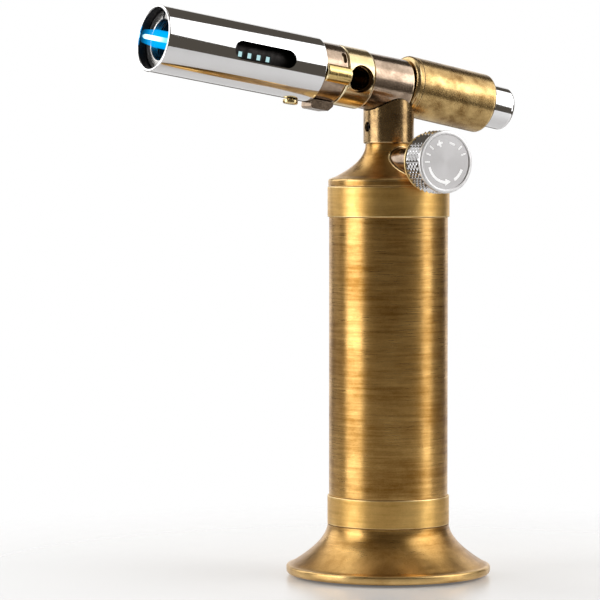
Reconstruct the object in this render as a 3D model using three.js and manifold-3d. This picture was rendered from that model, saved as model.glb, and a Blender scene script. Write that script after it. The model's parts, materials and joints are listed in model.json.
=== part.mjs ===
// Refillable butane torch with a round metal tank, a tilted flame tube, a knurled gas knob
// and a piezo push button. Units are millimetres and +Z is up.
//
// Every piece is first built round one of four local axes:
//   tank axis      local z is height above the surface that the torch stands on
//   burner axis    local z runs towards the flame, local x is the upper side of the tube
//   ignition axis  local z runs towards the flame, so the push button lies at negative z
//   valve axis     local z runs out towards the front of the knob, local y is up
import * as THREE from "three";
import { mergeVertices } from "three/addons/utils/BufferGeometryUtils.js";
import Module from "manifold-3d";

const wasm = await Module();
wasm.setup();

// ---------------------------------------------------------------- driving dimensions
const GAP = 0.3;                 // clearance between pieces that touch
const COARSE = 12;               // facets round a small pin or screw
const MEDIUM = 20;               // facets round a valve part or an inner tube
const FINE = 32;                 // facets round the large turned parts
const FINEST = 40;               // facets round the polished flame tube
const REACH = 30;                // how far a cutter for a curved seat runs past it

const BURNER_HEIGHT = 156.57;    // height where the burner axis crosses the tank axis
const BURNER_TILT = 8.67;        // degrees that the flame tube points up
const IGNITION_HEIGHT = 157.79;
const IGNITION_TILT = 10.43;     // the housing slopes slightly more than the flame tube
const VALVE_HEIGHT = 131.96;

const FOOT = { rim: 32.7, bottom: 0.5, rimTop: 2.6, flareBottom: 3.2, top: 16.1, wall: 2.4, recess: 29.3 };
const PAD = { outer: 29, hole: 9, thickness: 2.4 };
const COLLAR = { radius: 19.5, bore: 15.6, spigot: 17.3, socket: 16.9, socketDepth: 4.4, spigotLength: 5 };
const LOWER_COLLAR = { bottom: 16.4, top: 25.6 };
const UPPER_COLLAR = { bottom: 114.6, top: 124.4 };
const TUBE = { outer: 19, inner: 17.6, bottom: 25.9, top: 114.3 };
const TANK = { outer: 13.9, wall: 1.4, bottom: 20, top: 119, valveHole: 4.3 };
const TANK_LID = { thickness: 2, bottom: 119.3, tubeHole: 1.9 };
const FEED = { outer: 1.5, inner: 0.8, offset: 4, bottom: 34, top: 126.8 };
const WICK = { radius: 2.4, bore: 1.8, bottom: 27, top: 44 };
const SHOULDER = { band: 19.3, bottom: 124.7, bandTop: 126.6, flareTop: 137.9, neckRadius: 7.4, passage: 3.6 };
const SHOULDER_FLARE = { radius: 17.2, z: 127.4 };
const SHOULDER_EXPONENT = 2.1;
const SHOULDER_WALL = 1.4;       // thickness of the shoulder above the tank
const NECK = { outer: 8.1, inner: 5.6, bottom: 138.2, top: 156 };
const NECK_SCREW = { radius: 1.3, hole: 1.6, height: 143.3, length: 2.2, socket: 0.6 };
const RISER = { outer: 1.3, inner: 0.6, bottom: 137, crankFrom: 140, crankTo: 146, top: 153.6, crank: 2.5 };

const FILL = { outer: 4, flange: 6.5, bore: 2.4, bottom: 10, top: 26, floor: 11.5, roof: 23 };
const FILL_STEM = { shank: 0.9, head: 2.1, tip: 7.4, headBottom: 11.8, headTop: 13.3, top: 22.6, bore: 0.3 };
const FILL_SPRING = { radius: 1.75, wire: 0.24, bottom: 13.9, top: 22.4, turns: 7 };
const FILL_SEAL = { outer: 5.6, inner: 4.3, bottom: 15.8, top: 17.1 };

const BODY = { outer: 9, spigot: 7.9, bore: 6.2, rear: -4.2, wall: 3, step: 11, front: 24, rearHole: 3.8 };
const AIR_PORT = { at: 16, ringRadius: 4.35, bodyRadius: 3.75, down: 6, depth: 4 };
const AIR_RING = { outer: 9.5, inner: 8.2, rear: 11.3, front: 21 };
const HOLDER = { outer: 9.4, inside: 9.2, rear: 21.3, step: 29.4, front: 40, socket: 8.2, bore: 6.3 };
const HOLDER_WEB = { rear: 33, front: 36, hole: 3.5, nozzleSocket: 7.6 };
const JET_HOLDER = { outer: 5.9, rear: 0, front: 4.5, jetHole: 1.6, leadHole: 1.1, leadHoleAt: 3.65 };
const JET = { body: 1.3, tip: 0.55, rear: 0.4, shoulder: 6, front: 8.5, bore: 0.25 };
const MIXER = { outer: 3.2, inner: 2.4, rear: 19.2, mouth: 3.7, front: 44 };
const FLAME_TUBE = { outer: 10.4, inner: 9.5, rear: 29.7, front: 86.2 };
const WINDOW = { from: 41, to: 63, width: 5.7, up: 0.5 };
const NOZZLE = { outer: 7.3, inner: 6.5, rear: 36.3, front: 80.5 };
const NOZZLE_SLOT = { size: 1.7, pitch: 3.3, first: 49.3, count: 4, down: 0.5 };
const MOUTH_RING = { outer: 9.2, inner: 6.3, rear: 80.9, front: 83.4, slit: 1.2 };
const LEAD_LINE = 4.6;           // distance of the ignition lead above the burner axis
const INSULATOR = { outer: 1.05, inner: 0.7, rear: 30, front: 50 };
const ELECTRODE = { radius: 0.35, rear: 31, bend: 52, front: 56, drop: 1.6 };
const LEAD = { radius: 0.5, sides: 6 };
const LEAD_COVER = { radius: 3, lift: 8.2, rear: 20.4, front: 29.4 };
const LUG = { width: 6, reach: 12.1, rear: 21.4, front: 29.4, chamfer: 1.6 };
const TUBE_SCREW = { at: 35.3, head: 2.4, headHeight: 1.3, shank: 1.1, hole: 1.4, depth: 3.2 };

const HOUSING = { outer: 9.57, bore: 7.8, rear: -36.2, front: -7.8, lip: 7.3, lipLength: 2.7, round: 2.2 };
const HOUSING_CAP = { rear: -7.5, front: -5, round: 1.2, spigot: 7.5, spigotRear: -10.5, hole: 2.5 };
const NIPPLE = { outer: 2.2, inner: 1.2, rear: -10.4, front: -3.4 };
const BUTTON = { outer: 7, flange: 7.5, cup: 5.5, end: -45.7, floor: -43.5, front: -31.5, flangeRear: -33.1 };
const BUTTON_ROUND = 1.5;
const PIEZO = { width: 9.6, depth: 8, rear: -26.5, front: -12, bore: 3.3, boreEnd: -18 };
const TERMINAL = { radius: 1.6, front: -10.8 };
const PLUNGER = { radius: 3, rear: -43.2, front: -24, pin: 1.4, pinFront: -22.6 };
const BUTTON_SPRING = { radius: 4.6, wire: 0.36, rear: -42.9, front: -27, turns: 6 };

const VALVE = { outer: 4.7, chamber: 3, rear: -6, seat: -1.5, front: 20.7, inletAt: -4 };
const SPINDLE = { radius: 1.6, needle: -1.2, needleEnd: 2, front: 28, hole: 1.1, holeDepth: 4 };
const O_RING = { outer: 2.75, inner: 1.85, at: 14.5 };
const GLAND = { acrossCorners: 4.6, bore: 1.9, rear: 21, front: 22.6 };
const FLANGE = { radius: 9.2, rear: 22.9, front: 23.6, bore: 1.9 };
const KNOB = { radius: 9.9, groove: 0.45, ridges: 30, rear: 23.9, front: 31.6, recess: 8.2, recessRear: 30.9 };
const KNOB_HUB = { bore: 1.9, boreEnd: 28.3, screwHole: 1.1, counterbore: 2.8, counterboreRear: 29.3 };
const KNOB_SCREW = { shank: 0.8, head: 2.4, rear: 24.5, headRear: 29.6, front: 30.8 };
const FACE = { radius: 9.75, spigot: 7.9, rear: 31.2, back: 31.9, floor: 32.8, rimInner: 8.9, front: 33.05 };

// ---------------------------------------------------------------- materials
function metal(color, roughness) {
  return new THREE.MeshStandardMaterial({ color, roughness, metalness: 1 });
}

function nonMetal(color, roughness) {
  return new THREE.MeshStandardMaterial({ color, roughness, metalness: 0 });
}

const antiqueBrass = () => metal(0x9a7430, 0.38);
const collarBrass = () => metal(0xb48a3c, 0.34);
const satinBrass = () => metal(0xc2a565, 0.36);
const brightBrass = () => metal(0xc9a04a, 0.28);
const bronze = () => metal(0x7d6a52, 0.4);
const chrome = () => metal(0xd8d9dc, 0.1);
const steel = () => metal(0xa9abad, 0.3);
const burntSteel = () => metal(0x2c2a29, 0.55);
const springSteel = () => metal(0x9c9ea2, 0.25);
const satinFace = () => metal(0xdedddd, 0.42);
const rubber = () => nonMetal(0x1a1a1b, 0.8);
const ceramic = () => nonMetal(0xe9e4d8, 0.45);
const blackPlastic = () => nonMetal(0x202124, 0.5);
const tankPlastic = () => nonMetal(0xd9d6c8, 0.4);
const felt = () => nonMetal(0xcfc7b4, 0.95);
const leadSleeve = () => nonMetal(0xa3231c, 0.5);

// ---------------------------------------------------------------- geometry helpers
// Welds a closed geometry to shared vertices, drops collapsed triangles and turns it outwards.
function weld(geometry) {
  const bare = geometry.index ? geometry.toNonIndexed() : geometry.clone();
  bare.deleteAttribute("normal");
  bare.deleteAttribute("uv");
  const merged = mergeVertices(bare, 1e-4);
  const index = merged.index.array;
  const kept = [];
  for (let i = 0; i < index.length; i += 3) {
    const [a, b, c] = [index[i], index[i + 1], index[i + 2]];
    if (a !== b && b !== c && c !== a) {
      kept.push(a, b, c);
    }
  }
  merged.setIndex(kept);
  return signedVolume(merged) < 0 ? flipped(merged) : merged;
}

function signedVolume(geometry) {
  const position = geometry.attributes.position;
  const corners = [new THREE.Vector3(), new THREE.Vector3(), new THREE.Vector3()];
  let volume = 0;
  for (let i = 0; i < geometry.index.count; i += 3) {
    corners.forEach((corner, k) => corner.fromBufferAttribute(position, geometry.index.getX(i + k)));
    volume += corners[0].dot(corners[1].clone().cross(corners[2])) / 6;
  }
  return volume;
}

function flipped(geometry) {
  const index = Array.from(geometry.index.array);
  for (let i = 0; i < index.length; i += 3) {
    [index[i], index[i + 1]] = [index[i + 1], index[i]];
  }
  geometry.setIndex(index);
  return geometry;
}

function toSolid(geometry) {
  const welded = weld(geometry);
  return new wasm.Manifold(new wasm.Mesh({
    numProp: 3,
    vertProperties: new Float32Array(welded.attributes.position.array),
    triVerts: new Uint32Array(welded.index.array),
  }));
}

function fromSolid(solid) {
  const mesh = solid.getMesh();
  const geometry = new THREE.BufferGeometry();
  geometry.setAttribute("position", new THREE.BufferAttribute(mesh.vertProperties, 3));
  geometry.setIndex(new THREE.BufferAttribute(mesh.triVerts, 1));
  return geometry;
}

function cut(geometry, ...tools) {
  return fromSolid(tools.reduce((solid, tool) => solid.subtract(toSolid(tool)), toSolid(geometry)));
}

// Revolves a profile of [radius, z] points round the local z axis.
// A profile that doesn't start and end on the axis is closed on itself.
function turned(profile, facets = FINE) {
  const points = profile.map(([radius, z]) => new THREE.Vector2(radius, z));
  const onAxis = profile[0][0] === 0 && profile[profile.length - 1][0] === 0;
  if (!onAxis) {
    points.push(points[0].clone());
  }
  return new THREE.LatheGeometry(points, facets).rotateX(Math.PI / 2);
}

function tubeProfile(outer, inner, bottom, top) {
  return [[inner, bottom], [outer, bottom], [outer, top], [inner, top]];
}

function tube(outer, inner, bottom, top, facets = FINE) {
  return turned(tubeProfile(outer, inner, bottom, top), facets);
}

function rod(radius, bottom, top, facets = COARSE) {
  return turned([[0, bottom], [radius, bottom], [radius, top], [0, top]], facets);
}

// Points of a rounded corner between two angles in degrees, both ends included.
function corner(centreRadius, centreZ, round, fromDegrees, toDegrees, steps = 4) {
  const points = [];
  for (let i = 0; i <= steps; i += 1) {
    const angle = THREE.MathUtils.degToRad(fromDegrees + ((toDegrees - fromDegrees) * i) / steps);
    points.push([centreRadius + round * Math.cos(angle), centreZ + round * Math.sin(angle)]);
  }
  return points;
}

// A concave flare: radius at height z between a wide and a narrow end.
function flareRadius(z, wide, narrow, exponent) {
  const share = Math.max((narrow.z - z) / (narrow.z - wide.z), 0);
  return narrow.radius + (wide.radius - narrow.radius) * share ** exponent;
}

function flare(wide, narrow, exponent, steps, inset = 0) {
  const points = [];
  for (let i = 0; i <= steps; i += 1) {
    const z = wide.z + ((narrow.z - wide.z) * i) / steps;
    points.push([flareRadius(z, wide, narrow, exponent) - inset, z]);
  }
  return points;
}

function alongPath(path, radius, sides, steps) {
  const section = new THREE.Shape();
  for (let i = 0; i < sides; i += 1) {
    const angle = (2 * Math.PI * i) / sides;
    section[i === 0 ? "moveTo" : "lineTo"](radius * Math.cos(angle), radius * Math.sin(angle));
  }
  section.closePath();
  return new THREE.ExtrudeGeometry(section, { steps, bevelEnabled: false, extrudePath: path });
}

class Helix extends THREE.Curve {
  constructor(radius, bottom, top, turns) {
    super();
    Object.assign(this, { radius, bottom, top, turns });
  }

  getPoint(t, target = new THREE.Vector3()) {
    const angle = 2 * Math.PI * this.turns * t;
    const z = this.bottom + (this.top - this.bottom) * t;
    return target.set(this.radius * Math.cos(angle), this.radius * Math.sin(angle), z);
  }
}

function coilSpring({ radius, wire, turns }, bottom, top) {
  const stepsPerTurn = 8;
  return alongPath(new Helix(radius, bottom, top, turns), wire, 5, turns * stepsPerTurn);
}

const SLOT_DEPTH = 12;

// An extruded obround or rectangle used as a cutting tool, lying along local z, looking along local y.
function slotTool(from, to, width, round) {
  const shape = new THREE.Shape();
  const half = width / 2;
  if (round) {
    shape.absarc(0, from + half, half, Math.PI, 2 * Math.PI, false);
    shape.absarc(0, to - half, half, 0, Math.PI, false);
  } else {
    shape.moveTo(-half, from);
    shape.lineTo(half, from);
    shape.lineTo(half, to);
    shape.lineTo(-half, to);
  }
  const options = { depth: SLOT_DEPTH, bevelEnabled: false, curveSegments: 8 };
  return new THREE.ExtrudeGeometry(shape, options).rotateX(Math.PI / 2);
}

// ---------------------------------------------------------------- pieces on the tank axis
const FOOT_WIDE = { radius: 31.8, z: FOOT.flareBottom };
const FOOT_NARROW = { radius: COLLAR.radius, z: FOOT.top };
const FOOT_EXPONENT = 1.75;

function footGeometry() {
  const edge = 0.7;
  const cavityTop = { radius: FOOT_NARROW.radius, z: FOOT.top - FOOT.wall };
  const cavity = flare(FOOT_WIDE, cavityTop, FOOT_EXPONENT, 4, FOOT.wall).reverse();
  const spigotTop = LOWER_COLLAR.bottom + COLLAR.socketDepth - GAP;
  const spigotOuter = COLLAR.socket - GAP;
  const spigotInner = TANK.outer + 2 * GAP;
  return turned([
    [FOOT.recess, FOOT.bottom],
    ...corner(FOOT.rim - edge, FOOT.bottom + edge, edge, -90, 0, 2),
    ...corner(FOOT.rim - edge, FOOT.rimTop - edge / 2, edge, 0, 70, 1),
    ...flare(FOOT_WIDE, FOOT_NARROW, FOOT_EXPONENT, 7),
    [spigotOuter, FOOT.top],
    [spigotOuter, spigotTop],
    [spigotInner, spigotTop],
    [spigotInner, cavityTop.z],
    ...cavity,
    [FOOT.recess, FOOT.flareBottom],
  ]);
}

function padGeometry() {
  const edge = 0.5;
  return turned([
    [PAD.hole, 0],
    [PAD.outer - edge, 0],
    [PAD.outer, edge],
    [PAD.outer, PAD.thickness],
    [PAD.hole, PAD.thickness],
  ]);
}

function lowerCollarGeometry() {
  const { bottom, top } = LOWER_COLLAR;
  const shelf = bottom + COLLAR.socketDepth;
  return turned([
    [COLLAR.socket, bottom],
    [COLLAR.radius, bottom],
    [COLLAR.radius, top],
    [COLLAR.spigot, top],
    [COLLAR.spigot, top + COLLAR.spigotLength],
    [COLLAR.bore, top + COLLAR.spigotLength],
    [COLLAR.bore, shelf],
    [COLLAR.socket, shelf],
  ]);
}

function upperCollarGeometry() {
  const { bottom, top } = UPPER_COLLAR;
  const shelf = top - COLLAR.socketDepth;
  return turned([
    [COLLAR.bore, bottom - COLLAR.spigotLength],
    [COLLAR.spigot, bottom - COLLAR.spigotLength],
    [COLLAR.spigot, bottom],
    [COLLAR.radius, bottom],
    [COLLAR.radius, top],
    [COLLAR.socket, top],
    [COLLAR.socket, shelf],
    [COLLAR.bore, shelf],
  ]);
}

function fuelTankGeometry() {
  const floor = TANK.bottom + TANK.wall;
  return turned([
    [TANK.valveHole, TANK.bottom],
    [TANK.outer, TANK.bottom],
    [TANK.outer, TANK.top],
    [TANK.outer - TANK.wall, TANK.top],
    [TANK.outer - TANK.wall, floor],
    [TANK.valveHole, floor],
  ], MEDIUM);
}

function tankLidGeometry() {
  const lid = rod(TANK.outer, TANK_LID.bottom, TANK_LID.bottom + TANK_LID.thickness, MEDIUM);
  const hole = rod(TANK_LID.tubeHole, TANK_LID.bottom - 1, TANK_LID.bottom + TANK_LID.thickness + 1);
  return cut(lid, hole.translate(0, FEED.offset, 0));
}

function shoulderGeometry() {
  const narrow = { radius: SHOULDER.neckRadius, z: SHOULDER.flareTop };
  const spigotOuter = COLLAR.socket - GAP;
  const spigotInner = TANK.outer + GAP;
  const spigotBottom = UPPER_COLLAR.top - COLLAR.socketDepth + GAP;
  const edge = 0.8;
  const shell = turned([
    [spigotInner, spigotBottom],
    [spigotOuter, spigotBottom],
    [spigotOuter, SHOULDER.bottom],
    [SHOULDER.band, SHOULDER.bottom],
    ...corner(SHOULDER.band - edge, SHOULDER.bandTop, edge, 0, 80, 2),
    ...flare(SHOULDER_FLARE, narrow, SHOULDER_EXPONENT, 7),
    [SHOULDER.passage, SHOULDER.flareTop],
    [SHOULDER.passage, SHOULDER.bandTop + SHOULDER_WALL],
    [spigotInner, SHOULDER.bottom + GAP],
  ]);
  const valveBore = rod(VALVE.outer + GAP, VALVE.rear - GAP, COLLAR.radius, MEDIUM);
  return cut(shell, valveBore.rotateX(Math.PI / 2).translate(0, 0, VALVE_HEIGHT));
}

function neckGeometry() {
  const sleeve = tube(NECK.outer, NECK.inner, NECK.bottom, NECK.top);
  const saddle = rod(BODY.outer + GAP, -REACH, REACH, FINE);
  const housingBed = rod(HOUSING.outer + GAP, -REACH, HOUSING_CAP.front + GAP, FINE);
  const screwHole = rod(NECK_SCREW.hole, NECK.inner - 2, NECK.outer + 2);
  return cut(
    sleeve,
    placed(saddle, BURNER_HEIGHT, BURNER_TILT),
    placed(housingBed, IGNITION_HEIGHT, IGNITION_TILT),
    screwHole.rotateY(-Math.PI / 2).translate(0, 0, NECK_SCREW.height),
  );
}

// Turns a shape built round a tilted axis into the tank's frame.
function placed(geometry, height, tilt) {
  return geometry.rotateY(-THREE.MathUtils.degToRad(90 - tilt)).translate(0, 0, height);
}

function riserGeometry() {
  const route = (bottom, top) => new THREE.CatmullRomCurve3([
    new THREE.Vector3(0, 0, bottom),
    new THREE.Vector3(0, 0, RISER.crankFrom),
    new THREE.Vector3(-RISER.crank, 0, RISER.crankTo),
    new THREE.Vector3(-RISER.crank, 0, top),
  ], false, "centripetal");
  const steps = 12;
  const outside = alongPath(route(RISER.bottom, RISER.top), RISER.outer, 8, steps);
  const passage = alongPath(route(RISER.bottom - 1, RISER.top + 1), RISER.inner, 6, steps);
  return cut(outside, passage);
}

function neckScrewGeometry() {
  const outerEnd = NECK.outer - 0.4;
  const innerEnd = outerEnd - NECK_SCREW.length;
  const socketFloor = outerEnd - 1.2;
  return turned([
    [0, innerEnd],
    [NECK_SCREW.radius, innerEnd],
    [NECK_SCREW.radius, outerEnd],
    [NECK_SCREW.socket, outerEnd],
    [NECK_SCREW.socket, socketFloor],
    [0, socketFloor],
  ], COARSE).rotateY(-Math.PI / 2).translate(0, 0, NECK_SCREW.height);
}

// ---------------------------------------------------------------- fill valve
function fillValveBodyGeometry() {
  const stemHole = FILL_STEM.shank + GAP;
  const flangeTop = TANK.bottom - GAP;
  const flangeBottom = flangeTop - 2.3;
  return turned([
    [stemHole, FILL.bottom],
    [FILL.outer, FILL.bottom],
    [FILL.outer, flangeBottom],
    [FILL.flange, flangeBottom],
    [FILL.flange, flangeTop],
    [FILL.outer, flangeTop],
    [FILL.outer, FILL.top],
    [stemHole, FILL.top],
    [stemHole, FILL.roof],
    [FILL.bore, FILL.roof],
    [FILL.bore, FILL.floor],
    [stemHole, FILL.floor],
  ], MEDIUM);
}

function fillStemGeometry() {
  return turned([
    [0, FILL_STEM.top],
    [FILL_STEM.shank, FILL_STEM.top],
    [FILL_STEM.shank, FILL_STEM.headTop],
    [FILL_STEM.head, FILL_STEM.headTop],
    [FILL_STEM.head, FILL_STEM.headBottom],
    [FILL_STEM.shank, FILL_STEM.headBottom],
    [FILL_STEM.shank, FILL_STEM.tip],
    [FILL_STEM.bore, FILL_STEM.tip],
    [FILL_STEM.bore, FILL_STEM.headBottom],
    [0, FILL_STEM.headBottom],
  ], COARSE);
}

// ---------------------------------------------------------------- pieces on the burner axis
function burnerBodyGeometry() {
  const body = turned([
    [BODY.rearHole, BODY.rear],
    [BODY.outer, BODY.rear],
    [BODY.outer, BODY.step],
    [BODY.spigot, BODY.step],
    [BODY.spigot, BODY.front],
    [BODY.bore, BODY.front],
    [BODY.bore, BODY.rear + BODY.wall],
    [BODY.rearHole, BODY.rear + BODY.wall],
  ]);
  const port = portTool(AIR_PORT.bodyRadius, BODY.outer);
  const riserHole = rod(RISER.outer + 2 * GAP, -BURNER_HEIGHT + NECK.bottom, 0);
  return cut(
    body,
    port,
    untilted(riserHole.translate(-RISER.crank, 0, 0)),
  );
}

// A round cutter for the air port, which looks sideways and slightly down.
function portTool(radius, wallRadius) {
  const tool = rod(radius, wallRadius - AIR_PORT.depth, wallRadius + AIR_PORT.depth, MEDIUM).rotateX(Math.PI / 2);
  return tool.translate(0, 0, AIR_PORT.at).rotateZ(-THREE.MathUtils.degToRad(AIR_PORT.down));
}

// Turns a shape built upright round the tank axis into the burner's frame.
function untilted(geometry) {
  return geometry.rotateY(THREE.MathUtils.degToRad(90 - BURNER_TILT));
}

function airRingGeometry() {
  const edge = 0.3;
  const ring = turned([
    [AIR_RING.inner, AIR_RING.rear],
    [AIR_RING.outer - edge, AIR_RING.rear],
    [AIR_RING.outer, AIR_RING.rear + edge],
    [AIR_RING.outer, AIR_RING.front - edge],
    [AIR_RING.outer - edge, AIR_RING.front],
    [AIR_RING.inner, AIR_RING.front],
  ]);
  return cut(ring, portTool(AIR_PORT.ringRadius, AIR_RING.outer));
}

function flameHolderGeometry() {
  const holder = turned([
    [HOLDER.socket, HOLDER.rear],
    [HOLDER.outer, HOLDER.rear],
    [HOLDER.outer, HOLDER.step],
    [HOLDER.inside, HOLDER.step],
    [HOLDER.inside, HOLDER.front],
    [HOLDER_WEB.nozzleSocket, HOLDER.front],
    [HOLDER_WEB.nozzleSocket, HOLDER_WEB.front],
    [HOLDER_WEB.hole, HOLDER_WEB.front],
    [HOLDER_WEB.hole, HOLDER_WEB.rear],
    [HOLDER.bore, HOLDER_WEB.rear],
    [HOLDER.bore, BODY.front + GAP],
    [HOLDER.socket, BODY.front + GAP],
  ]);
  const insulatorHole = rod(INSULATOR.outer + GAP, HOLDER_WEB.rear - 1, HOLDER_WEB.front + 1);
  const screwHole = rod(TUBE_SCREW.hole, HOLDER_WEB.hole + 3, FLAME_TUBE.outer + 1);
  return cut(
    holder,
    insulatorHole.translate(LEAD_LINE, 0, 0),
    screwHole.rotateY(-Math.PI / 2).translate(0, 0, TUBE_SCREW.at),
  );
}

function jetHolderGeometry() {
  const plug = tube(JET_HOLDER.outer, JET_HOLDER.jetHole, JET_HOLDER.rear, JET_HOLDER.front, MEDIUM);
  const leadHole = rod(JET_HOLDER.leadHole, JET_HOLDER.rear - 1, JET_HOLDER.front + 1);
  const riserHole = rod(RISER.outer + GAP, -BODY.bore - 2, RISER.top - BURNER_HEIGHT + GAP);
  return cut(
    plug,
    leadHole.translate(JET_HOLDER.leadHoleAt, 0, 0),
    untilted(riserHole.translate(-RISER.crank, 0, 0)),
  );
}

function jetGeometry() {
  return turned([
    [JET.bore, JET.rear],
    [JET.body, JET.rear],
    [JET.body, JET.shoulder],
    [JET.tip, JET.front],
    [JET.bore, JET.front],
  ], COARSE);
}

function mixerGeometry() {
  const wall = MIXER.outer - MIXER.inner;
  return turned([
    [MIXER.mouth - wall, MIXER.rear],
    [MIXER.mouth, MIXER.rear],
    [MIXER.outer, MIXER.rear + 3],
    [MIXER.outer, MIXER.front],
    [MIXER.inner, MIXER.front],
    [MIXER.inner, MIXER.rear + 3],
  ], MEDIUM);
}

function flameTubeGeometry() {
  const lipCentre = (FLAME_TUBE.outer + FLAME_TUBE.inner) / 2;
  const lip = (FLAME_TUBE.outer - FLAME_TUBE.inner) / 2;
  const shell = turned([
    [FLAME_TUBE.inner, FLAME_TUBE.rear],
    [FLAME_TUBE.outer, FLAME_TUBE.rear],
    ...corner(lipCentre, FLAME_TUBE.front - lip, lip, 0, 180, 3),
  ], FINEST);
  const window = slotTool(WINDOW.from, WINDOW.to, WINDOW.width, true);
  const screwHole = rod(TUBE_SCREW.hole, FLAME_TUBE.inner - 1, FLAME_TUBE.outer + 1);
  return cut(
    shell,
    window.translate(WINDOW.up, 0, 0),
    screwHole.rotateY(-Math.PI / 2).translate(0, 0, TUBE_SCREW.at),
  );
}

function nozzleGeometry() {
  const shell = tube(NOZZLE.outer, NOZZLE.inner, NOZZLE.rear, NOZZLE.front, MEDIUM);
  const slots = [];
  for (let i = 0; i < NOZZLE_SLOT.count; i += 1) {
    const at = NOZZLE_SLOT.first + i * NOZZLE_SLOT.pitch;
    const half = NOZZLE_SLOT.size / 2;
    slots.push(slotTool(at - half, at + half, NOZZLE_SLOT.size, false).translate(-NOZZLE_SLOT.down, 0, 0));
  }
  return cut(shell, ...slots);
}

function mouthRingGeometry() {
  const ring = tube(MOUTH_RING.outer, MOUTH_RING.inner, MOUTH_RING.rear, MOUTH_RING.front);
  const length = MOUTH_RING.front - MOUTH_RING.rear + 2;
  const slit = new THREE.BoxGeometry(6, MOUTH_RING.slit, length);
  return cut(ring, slit.translate(MOUTH_RING.inner + 2, 0, (MOUTH_RING.rear + MOUTH_RING.front) / 2));
}

function electrodeGeometry() {
  const path = new THREE.CatmullRomCurve3([
    new THREE.Vector3(LEAD_LINE, 0, ELECTRODE.rear),
    new THREE.Vector3(LEAD_LINE, 0, (ELECTRODE.rear + ELECTRODE.bend) / 2),
    new THREE.Vector3(LEAD_LINE, 0, ELECTRODE.bend),
    new THREE.Vector3(LEAD_LINE - ELECTRODE.drop, 0, ELECTRODE.front),
  ], false, "centripetal");
  return alongPath(path, ELECTRODE.radius, 6, 9);
}

function leadGeometry() {
  const path = new THREE.CatmullRomCurve3([
    new THREE.Vector3(0.93, 0, TERMINAL.front + 0.7),
    new THREE.Vector3(1, 0, -6),
    new THREE.Vector3(1.25, 0, -3.6),
    new THREE.Vector3(2.6, 0, -1.5),
    new THREE.Vector3(JET_HOLDER.leadHoleAt, 0, JET_HOLDER.rear + 0.3),
    new THREE.Vector3(JET_HOLDER.leadHoleAt, 0, JET_HOLDER.front + 0.3),
    new THREE.Vector3(LEAD_LINE, 0, 12),
    new THREE.Vector3(LEAD_LINE, 0, 18),
    new THREE.Vector3(LEAD_LINE, 0, INSULATOR.rear - GAP),
  ], false, "centripetal");
  return alongPath(path, LEAD.radius, LEAD.sides, 26);
}

function leadCoverGeometry() {
  const cover = rod(LEAD_COVER.radius, LEAD_COVER.rear, LEAD_COVER.front, MEDIUM);
  const holderBed = rod(HOLDER.outer + GAP, LEAD_COVER.rear - 1, LEAD_COVER.front + 1, FINE);
  const ringBed = rod(AIR_RING.outer + GAP, LEAD_COVER.rear - 1, AIR_RING.front + GAP, FINE);
  const turn = -THREE.MathUtils.degToRad(AIR_PORT.down);
  return cut(cover.translate(0, -LEAD_COVER.lift, 0), holderBed, ringBed).rotateZ(turn);
}

function lugGeometry() {
  const outline = new THREE.Shape();
  outline.moveTo(LUG.rear, -HOLDER.outer + 2);
  outline.lineTo(LUG.rear, -LUG.reach + LUG.chamfer);
  outline.lineTo(LUG.rear + LUG.chamfer, -LUG.reach);
  outline.lineTo(LUG.front - 0.6, -LUG.reach);
  outline.lineTo(LUG.front, -LUG.reach + 0.6);
  outline.lineTo(LUG.front, -HOLDER.outer + 2);
  const block = new THREE.ExtrudeGeometry(outline, { depth: LUG.width, bevelEnabled: false });
  block.translate(0, 0, -LUG.width / 2);
  const intoBurnerFrame = new THREE.Matrix4().makeBasis(
    new THREE.Vector3(0, 0, 1),
    new THREE.Vector3(1, 0, 0),
    new THREE.Vector3(0, 1, 0),
  );
  block.applyMatrix4(intoBurnerFrame);
  const holderBed = rod(HOLDER.outer + GAP, LUG.rear - 1, LUG.front + 1, FINE);
  return cut(block, holderBed);
}

function tubeScrewGeometry() {
  const headBottom = FLAME_TUBE.outer + 0.2;
  const headTop = headBottom + TUBE_SCREW.headHeight;
  const end = headBottom - TUBE_SCREW.depth;
  return turned([
    [0, end],
    [TUBE_SCREW.shank, end],
    [TUBE_SCREW.shank, headBottom],
    [TUBE_SCREW.head, headBottom],
    [TUBE_SCREW.head, headTop - 0.4],
    [TUBE_SCREW.head - 0.4, headTop],
    [0, headTop],
  ], COARSE).rotateY(-Math.PI / 2).translate(0, 0, TUBE_SCREW.at);
}

// ---------------------------------------------------------------- pieces on the ignition axis
function housingGeometry() {
  const lipFront = HOUSING.rear + HOUSING.lipLength;
  return turned([
    [HOUSING.lip, HOUSING.rear],
    ...corner(HOUSING.outer - HOUSING.round, HOUSING.rear + HOUSING.round, HOUSING.round, -80, 0, 3),
    [HOUSING.outer, HOUSING.front],
    [HOUSING.bore, HOUSING.front],
    [HOUSING.bore, lipFront],
    [HOUSING.lip, lipFront],
  ]);
}

function housingCapGeometry() {
  const { rear, front, round, spigot, spigotRear, hole } = HOUSING_CAP;
  return turned([
    [hole, spigotRear],
    [spigot, spigotRear],
    [spigot, rear],
    [HOUSING.outer, rear],
    ...corner(HOUSING.outer - round, front - round, round, 0, 90, 2),
    [hole, front],
  ]);
}

function buttonGeometry() {
  const end = BUTTON.end;
  return turned([
    [0, end],
    ...corner(BUTTON.outer - BUTTON_ROUND, end + BUTTON_ROUND, BUTTON_ROUND, -90, 0, 2),
    [BUTTON.outer, BUTTON.flangeRear],
    [BUTTON.flange, BUTTON.flangeRear],
    [BUTTON.flange, BUTTON.front],
    [BUTTON.cup, BUTTON.front],
    [BUTTON.cup, BUTTON.floor],
    [0, BUTTON.floor],
  ]);
}

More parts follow.
